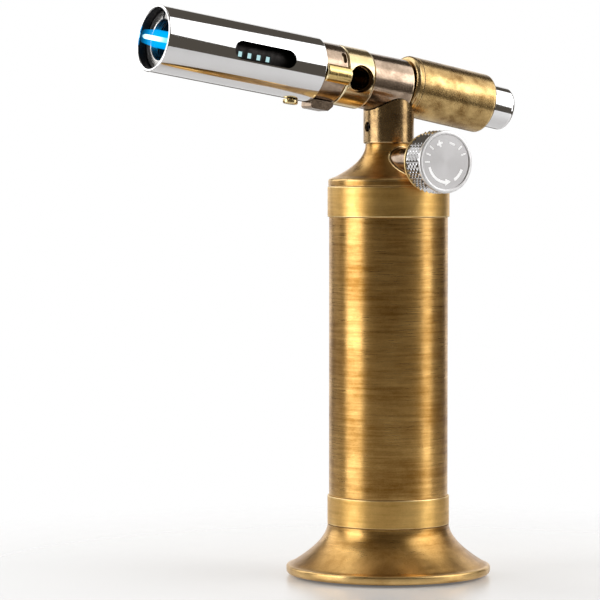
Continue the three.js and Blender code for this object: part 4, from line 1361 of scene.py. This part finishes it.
# ------------------------------------------------------------------ burner
@dataclass
class Burner:
    """The T-piece, air ring, flame tube and nozzle on the burner axis, in millimetres."""

    body: float = 9.0
    body_span: Span = (-4.2, 11.0)
    body_spigot: float = 7.9
    body_spigot_end: float = 24.0
    body_bore: float = 6.2
    body_wall: float = 3.0
    jet_hole: float = 3.8
    riser_hole: float = 1.9
    riser_offset: float = -2.5
    port_at: float = 16.0
    port_down: float = 6.0           # degrees below the side
    port_outer: float = 4.35
    port_inner: float = 3.75
    ring_outer: float = 9.5
    ring_bore: float = 8.2
    ring_span: Span = (11.3, 21.0)
    holder: float = 9.4
    holder_span: Span = (21.3, 29.4)
    holder_spigot: float = 9.2
    holder_end: float = 40.0
    insulator_at: float = 4.6
    insulator_hole: float = 1.35
    notch_at: float = 22.6
    notch_turn: float = 30.0         # degrees above the side
    notch_radius: float = 0.85
    notch_half_gap: float = 1.05
    lug_half_width: float = 3.0
    lug_bevel: float = 0.35
    cover_radius: float = 3.0
    cover_span: Span = (20.4, 29.4)
    cover_out: float = 8.2
    flame_tube: float = 10.4
    flame_bore: float = 9.5
    tube_span: Span = (29.7, 86.2)
    nozzle: float = 7.3
    nozzle_bore: float = 6.5
    nozzle_span: Span = (36.3, 80.5)
    mouth: float = 9.2
    mouth_bore: float = 6.3
    mouth_span: Span = (80.9, 83.4)
    mouth_slit: float = 1.2
    window: Span = (41.0, 63.0)
    window_width: float = 5.7
    window_up: float = 0.5
    slot_first: float = 49.3
    slot_pitch: float = 3.3
    slot_size: float = 1.7
    slot_count: int = 4
    slot_down: float = 0.5
    screw_at: float = 35.3
    screw_hole: float = 1.4
    seat: float = 9.7

    def build(self, bench: Bench) -> None:
        """Makes every piece on the burner axis.

        Args:
            bench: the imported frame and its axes.
        """
        axis = bench.burner
        bench.fit("burner_body", self.tee(bench), axis, Finishes.bronze)
        bench.fit("air_ring", self.ring(), axis, Finishes.ring)
        bench.fit("flame_holder", self.tube_holder(), axis, Finishes.bronze)
        bench.fit("retaining_lug", self.lug(), axis, Finishes.bronze)
        bench.fit("lead_cover", self.cover(), axis, Finishes.bright)
        bench.fit("flame_tube", self.tube(), axis, Finishes.chrome, Finishes.burnt, self.inside_tube)
        bench.fit("flame_tube_screw", self.screw(), axis, Finishes.bright)
        bench.fit("burner_nozzle", self.slotted_nozzle(), axis, Finishes.burnt)
        bench.fit("mouth_ring", self.mouth_ring(), axis, Finishes.steel)
        bench.fit("mixing_tube", self.mixer(), axis, Finishes.steel)
        bench.fit("gas_jet", self.jet(), axis, Finishes.bright)
        bench.dress(Finishes.bright, "jet_holder")
        bench.dress(Finishes.ceramic, "insulator")
        bench.dress(Finishes.steel, "electrode")
        bench.dress(Finishes.lead, "ignition_lead")

    def inside_tube(self, centre: Vector) -> bool:
        """Says whether a face of the flame tube is on its heat-darkened inside."""
        radius = math.hypot(centre.x, centre.y)
        return radius < self.flame_bore + 0.05 and centre.z < self.tube_span[1] - 0.6

    def port_cutter(self, radius: float, deep: float) -> bpy.types.Mesh:
        """Returns the cutter for the air port, which looks sideways and slightly down."""
        place = turn_about("Z", -self.port_down) @ crossing(self.port_at, "X", 90)
        return moved(rod(radius, deep - 4, deep + 4, 72), place)

    def tee(self, bench: Bench) -> bpy.types.Mesh:
        """Makes the burner body with the air port and the gas riser's hole.

        Args:
            bench: how far the burner axis leans.

        Returns:
            The mesh.
        """
        rear, front = self.body_span
        web, end = rear + self.body_wall, self.body_spigot_end
        blank = turned([
            (self.jet_hole, rear, 0.2), (self.body, rear, 0.5), (self.body, front, 0.35),
            (self.body_spigot, front), (self.body_spigot, end, 0.3), (self.body_bore, end, 0.2),
            (self.body_bore, web), (self.jet_hole, web),
        ], 160)
        riser = rod(self.riser_hole, -20, 0, 32)
        upright = turn_about("Y", 90 - bench.burner_tilt) @ Matrix.Translation((self.riser_offset, 0, 0))
        return carved(blank, self.port_cutter(self.port_inner, self.body), moved(riser, upright))

    def ring(self) -> bpy.types.Mesh:
        """Makes the turning air ring with its bevelled ends and round port.

        Returns:
            Its mesh, in local millimetres.
        """
        blank = tubed(self.ring_bore, self.ring_outer, self.ring_span, (0.15, 0.45, 0.45, 0.15), 160)
        return carved(blank, self.port_cutter(self.port_outer, self.ring_outer))

    def tube_holder(self) -> bpy.types.Mesh:
        """Makes the holder that carries the flame tube, with its web and a spanner notch.

        Returns:
            Its mesh, in local millimetres.
        """
        rear, front = self.holder_span
        bore, spigot, end = self.ring_bore, self.holder_spigot, self.holder_end
        blank = turned([
            (bore, rear, 0.15), (self.holder, rear, 0.35), (self.holder, front, 0.3), (spigot, front),
            (spigot, end, 0.3), (7.6, end, 0.2), (7.6, 36), (3.5, 36, 0.2), (3.5, 33, 0.2), (6.3, 33),
            (6.3, 24.3), (bore, 24.3),
        ], 160)
        insulator = moved(rod(self.insulator_hole, 32, 37, 32), Matrix.Translation((self.insulator_at, 0, 0)))
        screw = moved(rod(self.screw_hole, 6.5, 12, 32), crossing(self.screw_at, "Y", -90))
        gap, at = self.notch_half_gap, self.notch_at
        outline = round_ended((gap, at), (-gap, at), self.notch_radius, 12)
        notch = moved(extruded(outline, 8.5, 12), turn_about("Z", self.notch_turn) @ turn_about("X", 90))
        return carved(blank, insulator, screw, notch)

    def lug(self) -> bpy.types.Mesh:
        """Makes the lug under the holder, with worn bevelled edges.

        Returns:
            Its mesh, in local millimetres.
        """
        outline = [(21.4, -7.4), (21.4, -10.5), (23.0, -12.1), (28.8, -12.1), (29.4, -11.5), (29.4, -7.4)]
        block = extruded(outline, -self.lug_half_width, self.lug_half_width, self.lug_bevel)
        swap = Matrix(((0, 1, 0, 0), (0, 0, 1, 0), (1, 0, 0, 0), (0, 0, 0, 1)))
        return carved(moved(block, swap), rod(self.seat, 20, 31, 128))

    def cover(self) -> bpy.types.Mesh:
        """Makes the half-round cover over the ignition lead's way in.

        Returns:
            Its mesh, in local millimetres.
        """
        rear, front = self.cover_span
        blank = turned([
            (0, rear), (self.cover_radius, rear, 0.5), (self.cover_radius, front, 0.5), (0, front),
        ], 72)
        moved(blank, Matrix.Translation((0, -self.cover_out, 0)))
        cut = carved(blank, rod(self.seat, 19, 31, 160), rod(self.seat + 0.1, 19, self.holder_span[0], 160))
        return moved(cut, turn_about("Z", -self.port_down))

    def tube(self) -> bpy.types.Mesh:
        """Makes the flame tube with its rounded mouth and long window.

        Returns:
            Its mesh, in local millimetres.
        """
        blank = tubed(self.flame_bore, self.flame_tube, self.tube_span, (0.2, 0.3, 0.3, 0.25), 224)
        near, far = self.window
        half = self.window_width / 2
        outline = round_ended((self.window_up, near + half), (self.window_up, far - half), half, 24)
        window = moved(extruded(outline, 0, 12), turn_about("X", 90))
        hole = moved(rod(self.screw_hole, 8, 12, 32), crossing(self.screw_at, "Y", -90))
        return carved(blank, window, hole)

    def slotted_nozzle(self) -> bpy.types.Mesh:
        """Makes the inner nozzle with its row of square flame holes.

        Returns:
            Its mesh, in local millimetres.
        """
        blank = tubed(self.nozzle_bore, self.nozzle, self.nozzle_span, (0.15, 0.2, 0.2, 0.15), 128)
        tools = []
        for k in range(self.slot_count):
            at = self.slot_first + k * self.slot_pitch
            hole = rectangle(-self.slot_down, at, self.slot_size, self.slot_size)
            tools.append(moved(extruded(hole, 3, 12), turn_about("X", 90)))
        return carved(blank, *tools)

    def mouth_ring(self) -> bpy.types.Mesh:
        """Makes the split ring inside the mouth.

        Returns:
            Its mesh, in local millimetres.
        """
        blank = tubed(self.mouth_bore, self.mouth, self.mouth_span, (0.2, 0.2, 0.3, 0.35), 160)
        return carved(blank, extruded(rectangle(8.15, 0, 5.7, self.mouth_slit), 79, 85))

    def mixer(self) -> bpy.types.Mesh:
        """Makes the mixing tube with its belled mouth.

        Returns:
            Its mesh, in local millimetres.
        """
        return turned([
            (2.9, 19.2, 0.2), (3.7, 19.2, 0.3), (3.2, 22.2, 1.5), (3.2, 44, 0.2), (2.4, 44, 0.2),
            (2.4, 22.2, 1.5),
        ], 72)

    def jet(self) -> bpy.types.Mesh:
        """Makes the gas jet with its tapered tip.

        Returns:
            Its mesh, in local millimetres.
        """
        return turned([
            (0.25, 0.4), (1.3, 0.4, 0.15), (1.3, 6, 0.3), (0.55, 8.5, 0.12), (0.25, 8.5),
        ], 48)

    def screw(self) -> bpy.types.Mesh:
        """Makes the slotted screw under the flame tube.

        Returns:
            Its mesh, in local millimetres.
        """
        blank = turned([
            (0, 7.4), (1.1, 7.4, 0.2), (1.1, 10.6), (2.4, 10.6, 0.15), (2.4, 11.9, 0.6), (0, 11.9),
        ], 64)
        slot = extruded(rectangle(0, 0, 6, 0.56), 11.3, 13)
        return moved(carved(blank, slot), crossing(self.screw_at, "Y", -90))


# ------------------------------------------------------------------ ignition
@dataclass
class Igniter:
    """The housing, push button, spring and piezo unit on the ignition axis, in millimetres."""

    housing: float = 9.57
    housing_bore: float = 7.8
    housing_mouth: float = 7.3
    housing_span: Span = (-36.2, -7.62)
    housing_lip: float = -33.5
    cap_span: Span = (-7.5, -5.0)
    cap_spigot: float = 7.5
    cap_spigot_end: float = -10.5
    cap_hole: float = 2.5
    nipple: float = 2.2
    nipple_bore: float = 1.2
    nipple_span: Span = (-10.4, -3.4)
    button: float = 7.0
    button_bore: float = 5.5
    button_end: float = -45.7
    button_floor: float = -43.5
    flange: float = 7.5
    flange_span: Span = (-33.1, -31.5)
    plunger: float = 3.0
    plunger_pin: float = 1.4
    plunger_span: Span = (-43.2, -24.0)
    pin_end: float = -22.6
    travel: float = 4.2
    spring_radius: float = 4.6
    spring_wire: float = 0.36
    spring_turns: float = 6
    spring_from: float = -42.9
    spring_to: float = -27.0

    def build(self, bench: Bench) -> None:
        """Makes every piece on the ignition axis.

        Args:
            bench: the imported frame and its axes.
        """
        axis = bench.ignition
        bench.fit("ignition_housing", self.shell(), axis, Finishes.satin)
        bench.fit("housing_front_cap", self.cap(), axis, Finishes.satin)
        nipple = tubed(self.nipple_bore, self.nipple, self.nipple_span, (0.1, 0.2, 0.2, 0.1), 48)
        bench.fit("joining_nipple", nipple, axis, Finishes.bright)
        bench.fit("push_button", self.push_button(), axis, Finishes.chrome)
        rear, front = self.plunger_span
        bench.fit("piezo_plunger", turned([
            (0, rear), (self.plunger, rear, 0.3), (self.plunger, front, 0.4), (self.plunger_pin, front),
            (self.plunger_pin, self.pin_end, 0.3), (0, self.pin_end),
        ], 64), axis, Finishes.black)
        bench.dress(Finishes.black, "piezo_unit")
        coil = swept(helix(self.spring_radius, self.spring_from, self.spring_to, self.spring_turns),
                     self.spring_wire)
        spring = bench.fit("button_spring", coil, axis, Finishes.spring)
        tuple(axis.along)
        tuple(axis.point(0, 0, self.spring_to))
        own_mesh(spring)

    def shell(self) -> bpy.types.Mesh:
        """Makes the housing, with its rounded rear end.

        Returns:
            Its mesh, in local millimetres.
        """
        rear, front = self.housing_span
        return turned([
            (self.housing_mouth, rear, 0.25), (self.housing, rear, 2.2), (self.housing, front, 0.12),
            (self.housing_bore, front, 0.15), (self.housing_bore, self.housing_lip),
            (self.housing_mouth, self.housing_lip),
        ], 160)

    def cap(self) -> bpy.types.Mesh:
        """Makes the front cap with its rounded edge.

        Returns:
            Its mesh, in local millimetres.
        """
        rear, front = self.cap_span
        return turned([
            (self.cap_hole, self.cap_spigot_end, 0.2), (self.cap_spigot, self.cap_spigot_end, 0.3),
            (self.cap_spigot, rear), (self.housing, rear, 0.12), (self.housing, front, 1.9),
            (self.cap_hole, front, 0.2),
        ], 160)

    def push_button(self) -> bpy.types.Mesh:
        """Makes the chromed push button, slightly domed at its end.

        Returns:
            Its mesh, in local millimetres.
        """
        rear, front = self.flange_span
        return turned([
            (0, self.button_end), (3.5, self.button_end + 0.08), (self.button, self.button_end + 0.3, 1.5),
            (self.button, rear), (self.flange, rear, 0.15), (self.flange, front, 0.2),
            (self.button_bore, front, 0.2), (self.button_bore, self.button_floor), (0, self.button_floor),
        ], 144)


# ------------------------------------------------------------------ gas valve and knob
@dataclass
class GasValve:
    """The valve body, gland, spindle and seal on the valve axis, in millimetres."""

    barrel: float = 4.7
    barrel_span: Span = (-6.0, 20.7)
    chamber: float = 3.0
    chamber_end: float = -1.5
    passage: float = 0.7
    inlet: float = 1.0
    inlet_at: float = -4.0
    outlet: float = 1.6
    gland_corner: float = 4.6
    gland_hole: float = 1.9
    gland_span: Span = (21.0, 22.6)
    seal: float = 2.75
    seal_bore: float = 1.85
    seal_span: Span = (14.05, 14.95)

    def build(self, bench: Bench) -> None:
        """Makes the pieces of the valve.

        Args:
            bench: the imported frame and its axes.
        """
        axis = bench.valve
        bench.fit("valve_body", self.body(), axis, Finishes.bronze)
        bench.fit("gland_nut", self.gland(), axis, Finishes.bright)
        bench.dress(Finishes.steel, "valve_spindle")
        seal = tubed(self.seal_bore, self.seal, self.seal_span, (0.44, 0.44, 0.44, 0.44), 48)
        bench.fit("spindle_seal", seal, axis, Finishes.rubber)

    def body(self) -> bpy.types.Mesh:
        """Makes the valve body with its stepped chamber, gas inlet and outlet.

        Returns:
            Its mesh, in local millimetres.
        """
        rear, front = self.barrel_span
        blank = turned([
            (0, rear), (self.barrel, rear, 0.3), (self.barrel, front, 0.35), (self.chamber, front, 0.15),
            (self.chamber, self.chamber_end), (self.passage, self.chamber_end), (self.passage, self.inlet_at),
            (0, self.inlet_at),
        ], 96)
        inlet = moved(rod(self.inlet, -5.7, 0.2, 32), crossing(self.inlet_at, "X", -90))
        outlet = moved(rod(self.outlet, 0, 5.7, 32), turn_about("X", -90))
        return carved(blank, inlet, outlet)

    def gland(self) -> bpy.types.Mesh:
        """Returns the hexagonal gland nut."""
        nut = extruded(hexagon(self.gland_corner), *self.gland_span, 0.2)
        return carved(nut, rod(self.gland_hole, 20, 24, 48))


@dataclass
class Knob:
    """The knurled knob, its brass back plate and its marked face, in millimetres."""

    radius: float = 9.9
    groove: float = 0.8
    ridges: int = 34
    rows: int = 4
    chamfer: float = 0.45
    rear: float = 23.9
    front: float = 31.6
    flange: float = 9.2
    flange_hole: float = 1.9
    flange_span: Span = (22.9, 23.6)
    face: float = 9.75
    face_front: float = 33.05
    mark_span: Span = (32.74, 32.88)
    arrow_band: Span = (5.9, 6.7)
    ticks: tuple[float, ...] = (20, 40, 140, 160, 180)    # degrees round the dial

    def build(self, bench: Bench) -> None:
        """Makes the pieces that turn with the knob.

        Args:
            bench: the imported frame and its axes.
        """
        axis = bench.valve
        flange = tubed(self.flange_hole, self.flange, self.flange_span, (0.1, 0.25, 0.25, 0.1), 144)
        bench.fit("knob_flange", flange, axis, Finishes.collar)
        bench.fit("knob", self.grip(), axis, Finishes.chrome)
        bench.fit("knob_face", self.plate(), axis, Finishes.face)
        bench.fit("knob_screw", turned([
            (0, 24.5), (0.8, 24.5, 0.15), (0.8, 29.6), (2.4, 29.6, 0.15), (2.4, 30.8, 0.4), (0, 30.8),
        ], 48), axis, Finishes.steel)
        # the marks' finish gives them a painted glow
        marks = bench.add("dial_marks", self.marks(), axis, Finishes.mark, bench.owner["knob_face"])

    def grip(self) -> bpy.types.Mesh:
        """Makes the grip: crossing diagonal grooves leave rows of small pyramids.

        Returns:
            Its mesh, in local millimetres.
        """
        columns, levels = 2 * self.ridges, 2 * self.rows
        low, high = self.rear + self.chamfer, self.front - self.chamfer
        valley = self.radius - self.groove
        end = (valley - 0.15, valley - 0.15)
        rings = [(end, self.rear)]       # each ring has a radius for even and one for odd columns
        for level in range(levels + 1):
            peak = valley if level in (0, levels) else self.radius
            radii = (valley, peak) if level % 2 == 0 else (peak, valley)
            rings.append((radii, low + (high - low) * level / levels))
        rings.append((end, self.front))
        knurled = len(rings) - 1
        for radius, z in ((8.2, self.front), (8.2, 30.9), (2.8, 30.9), (2.8, 29.3), (1.1, 29.3), (1.1, 28.3),
                          (1.9, 28.3), (1.9, self.rear)):
            rings.append(((radius, radius), z))
        shell = bmesh.new()
        loops = []
        for radii, z in rings:
            loops.append([shell.verts.new((radii[k % 2] * math.cos(math.tau * k / columns),
                                           radii[k % 2] * math.sin(math.tau * k / columns), z))
                          for k in range(columns)])
        for row, (below, above) in enumerate(zip(loops, [*loops[1:], loops[0]])):
            for k in range(columns):
                j = (k + 1) % columns
                if row >= knurled:
                    shell.faces.new((below[k], below[j], above[j], above[k]))
                elif (k + row) % 2 == 1:
                    shell.faces.new((below[k], below[j], above[j]))
                    shell.faces.new((below[k], above[j], above[k]))
                else:
                    shell.faces.new((below[k], below[j], above[k]))
                    shell.faces.new((below[j], above[j], above[k]))
        return finished(shell, math.radians(16))

    def plate(self) -> bpy.types.Mesh:
        """Makes the face plate with its raised rim.

        Returns:
            Its mesh, in local millimetres.
        """
        return turned([
            (0, 31.2), (7.9, 31.2, 0.2), (7.9, 31.9), (self.face, 31.9, 0.2),
            (self.face, self.face_front, 0.42), (8.75, self.face_front, 0.2), (8.55, 32.8, 0.2), (0, 32.8),
        ], 160)

    def marks(self) -> bpy.types.Mesh:
        """Makes the dial's raised marks: a curved arrow, ticks, a plus and a minus.

        Returns:
            Its mesh, in local millimetres.
        """
        bottom, top = self.mark_span
        shapes = [
            self.band(195, 268),
            [on_circle(7.35, 268), on_circle(6.3, 286), on_circle(5.25, 268)],
            self.band(300, 338),
        ]
        for angle in self.ticks:
            shapes.append(self.stroke(Vector(on_circle(6.9, angle)), angle, 1.7, 0.4))
        for angle, bars in ((112, (0, 90)), (68, (0,))):
            centre = Vector(on_circle(6.1, angle))
            for bar in bars:
                shapes.append(self.stroke(centre, angle - 90 + bar, 2.1, 0.55))
        lift = 0.002                     # keeps the tops of crossing strokes apart
        return joined(*[extruded(shape, bottom + lift * i, top + lift * i) for i, shape in enumerate(shapes)])

    def band(self, start: float, end: float) -> Outline:
        """Makes the outline of a curved bar.

        Args:
            start: where it starts round the dial, in degrees.
            end: where it ends.

        Returns:
            The outline's points.
        """
        inner, outer = self.arrow_band
        angles = [start + (end - start) * k / 16 for k in range(17)]
        return ([on_circle(outer, angle) for angle in angles]
                + [on_circle(inner, angle) for angle in reversed(angles)])

    @staticmethod
    def stroke(centre: Vector, angle: float, length: float, width: float) -> Outline:
        """Makes the outline of a straight stroke.

        Args:
            centre: its middle.
            angle: which way it points, in degrees.
            length: its length.
            width: its width.

        Returns:
            Its four corners.
        """
        turn = math.radians(angle)
        ahead = Vector((math.cos(turn), math.sin(turn))) * length / 2
        side = Vector((-math.sin(turn), math.cos(turn))) * width / 2
        corners = (centre - ahead - side, centre + ahead - side, centre + ahead + side, centre - ahead + side)
        return [tuple(corner) for corner in corners]


# ------------------------------------------------------------------ studio
@dataclass(frozen=True)
class Softbox:
    """A soft light: degrees to the right of the camera, degrees up, distance and size in metres."""

    name: str
    turn: float
    lift: float
    distance: float
    width: float
    height: float
    radiance: float


@dataclass
class Studio:
    """Pale floor, soft lights, pale surround, camera and flame, in metres and degrees."""

    camera_turn: float = -32.74      # azimuth in degrees
    camera_distance: float = 0.944
    camera_height: float = 0.12576
    camera_pan: float = 1.718
    camera_tilt: float = 2.29
    lens: float = 177.0
    lamp_aim: float = 0.11
    floor_radius: float = 0.34
    floor_gap: float = 0.0002
    floor_shade: float = 0.76
    floor_roughness: float = 0.24
    floor_glow: float = 0.12
    floor_fade: Span = (60, 210)     # millimetres from the tank axis
    reflected: Colour = (0.095, 0.083, 0.068)
    softboxes: tuple[Softbox, ...] = (
        Softbox("left_strip", -70, 6, 0.85, 0.56, 1.1, 3.0),
        Softbox("left_rear", -122, 34, 0.95, 0.55, 1.2, 1.7),
        Softbox("right_strip", 80, 14, 0.95, 0.36, 0.9, 2.1),
        Softbox("upper_right", 88, 36, 0.95, 1.05, 0.85, 1.7),
        Softbox("overhead", 180, 86, 0.8, 0.45, 0.45, 0.6),
        Softbox("backdrop", 180, 2, 1.3, 2.0, 0.5, 1.0),
        Softbox("behind", 170, 22, 1.1, 1.1, 0.4, 0.9),
    )
    flame_root: Span = (61, 70)      # millimetres along the burner axis, where it brightens
    flame_tip: Span = (83, 90)       # where it fades out
    right: Vector = field(init=False)
    away: Vector = field(init=False)

    def __post_init__(self) -> None:
        """Works out which ways are right of the camera and away from it."""
        turn = math.radians(self.camera_turn)
        self.right = Vector((math.cos(turn), math.sin(turn), 0))
        self.away = Vector((-math.sin(turn), math.cos(turn), 0))

    def build(self, bench: Bench) -> None:
        """Makes the floor, the lights, the surround and the camera.

        Args:
            bench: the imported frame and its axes.
        """
        self.floor(bench)
        self.surround()
        for box in self.softboxes:
            self.lamp(bench, box)
        self.camera(bench)
        self.flame(bench)

    def flame(self, bench: Bench) -> None:
        """Makes the gas flame that burns in the nozzle; it isn't part of the torch.

        Args:
            bench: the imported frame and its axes.
        """
        core = turned([(0, 44), (3.2, 46), (3.2, 62), (0.9, 68), (0.7, 89), (0, 90.4)], 32)
        sheath = turned([(0, 63), (2.9, 68), (2.8, 85), (2.0, 89.5), (0, 90.6)], 48)
        for name, mesh, colour, hot in (("flame_core", core, (0.62, 0.96, 1.0), 6.0),
                                        ("flame_sheath", sheath, (0.0, 0.40, 0.95), 1.3)):
            mesh.transform(Matrix.Scale(MM, 4))
            body = linked(name, mesh)
            body.matrix_world = bench.burner.matrix()
            sheet = Sheet(name)
            glow = sheet.node("ShaderNodeEmission")
            glow.inputs["Color"].default_value = (*colour, 1)
            _, _, along = sheet.split(sheet.place())
            sheet.link(sheet.ranged(along, *self.flame_root, 0.8, hot), glow.inputs["Strength"])
            facing = sheet.node("ShaderNodeLayerWeight")
            facing.inputs["Blend"].default_value = 0.35
            tip = sheet.ranged(along, *self.flame_tip, 0, 1)
            sheet.see_through(glow.outputs[0], sheet.math("MAXIMUM", facing.outputs["Facing"], tip))
            mesh.materials.append(sheet.material)

    def camera(self, bench: Bench) -> None:
        """Places the camera level with the upper half of the torch.

        Args:
            bench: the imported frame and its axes.
        """
        pan, tilt = math.radians(self.camera_pan), math.radians(self.camera_tilt)
        forward = (self.right * (-math.sin(pan) * math.cos(tilt))
                   + self.away * (math.cos(pan) * math.cos(tilt))
                   + Vector((0, 0, -math.sin(tilt))))
        data = bpy.data.cameras.new("camera")
        data.lens = self.lens
        data.sensor_width = 36
        data.clip_start = 0.05
        holder = linked("camera", data)
        place = bench.tank.origin - self.away * self.camera_distance
        place.z = self.camera_height
        aimed(holder, place, forward)
        bpy.context.scene.camera = holder

    def lamp(self, bench: Bench, box: Softbox) -> None:
        """Places one softbox, aimed at the middle of the torch.

        Args:
            bench: where the torch stands.
            box: the softbox.
        """
        aim = bench.tank.origin + Vector((0, 0, self.lamp_aim))
        turn, lift = math.radians(box.turn), math.radians(box.lift)
        level = -self.away * math.cos(turn) + self.right * math.sin(turn)
        direction = level * math.cos(lift) + Vector((0, 0, math.sin(lift)))
        data = bpy.data.lights.new(box.name, "AREA")
        data.shape = "RECTANGLE"
        data.size = box.width
        data.size_y = box.height
        data.energy = box.radiance * math.pi * box.width * box.height
        holder = linked(box.name, data)
        aimed(holder, aim + direction * box.distance, -direction)
        holder.visible_camera = False

    def surround(self) -> None:
        """Makes the surround: white behind the torch, and dim in its reflections."""
        world = bpy.data.worlds.new("surround")
        world.use_nodes = True
        tree = world.node_tree
        tree.nodes.clear()
        output = tree.nodes.new("ShaderNodeOutputWorld")
        seen, felt = tree.nodes.new("ShaderNodeBackground"), tree.nodes.new("ShaderNodeBackground")
        seen.inputs["Color"].default_value = (1, 1, 1, 1)
        felt.inputs["Color"].default_value = (*self.reflected, 1)
        path = tree.nodes.new("ShaderNodeLightPath")
        mix = tree.nodes.new("ShaderNodeMixShader")
        tree.links.new(path.outputs["Is Camera Ray"], mix.inputs[0])
        tree.links.new(felt.outputs[0], mix.inputs[1])
        tree.links.new(seen.outputs[0], mix.inputs[2])
        tree.links.new(mix.outputs[0], output.inputs[0])
        bpy.context.scene.world = world

    def floor(self, bench: Bench) -> None:
        """Makes the pale floor, whose edge fades out into the surround.

        Args:
            bench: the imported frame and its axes.
        """
        disc = bmesh.new()
        bmesh.ops.create_circle(disc, cap_ends=True, segments=96, radius=self.floor_radius)
        mesh = bpy.data.meshes.new("floor")
        disc.to_mesh(mesh)
        disc.free()
        ground = linked("floor", mesh)
        ground.location = bench.tank.origin - Vector((0, 0, self.floor_gap))
        sheet = Sheet("pale_floor")
        shader = sheet.node("ShaderNodeBsdfPrincipled")
        shade = self.floor_shade
        shader.inputs["Base Color"].default_value = (shade, shade, shade, 1)
        shader.inputs["Roughness"].default_value = self.floor_roughness
        shader.inputs["Emission Color"].default_value = (1, 1, 1, 1)
        shader.inputs["Emission Strength"].default_value = self.floor_glow
        x, y, _ = sheet.split(sheet.place())
        below = sheet.node("ShaderNodeNewGeometry").outputs["Backfacing"]
        seen = sheet.node("ShaderNodeLightPath").outputs["Is Camera Ray"]
        fade = sheet.math("MULTIPLY", sheet.ranged(sheet.radius(x, y), *self.floor_fade, 0, 1), seen)
        sheet.see_through(shader.outputs[0], sheet.math("MAXIMUM", fade, below))
        mesh.materials.append(sheet.material)


def main() -> None:
    """Builds the torch and its studio in order."""
    logging.basicConfig(level=logging.INFO, format="%(name)s: %(message)s")
    bpy.context.scene.view_settings.view_transform = "Standard"
    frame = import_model()
    bench = Bench(frame)
    for assembly in (Studio(), Tank(), FillValve(), Burner(), Igniter(), GasValve(), Knob()):
        log.info("building %s", type(assembly).__name__)
        assembly.build(bench)


if __name__ == "__main__":
    main()
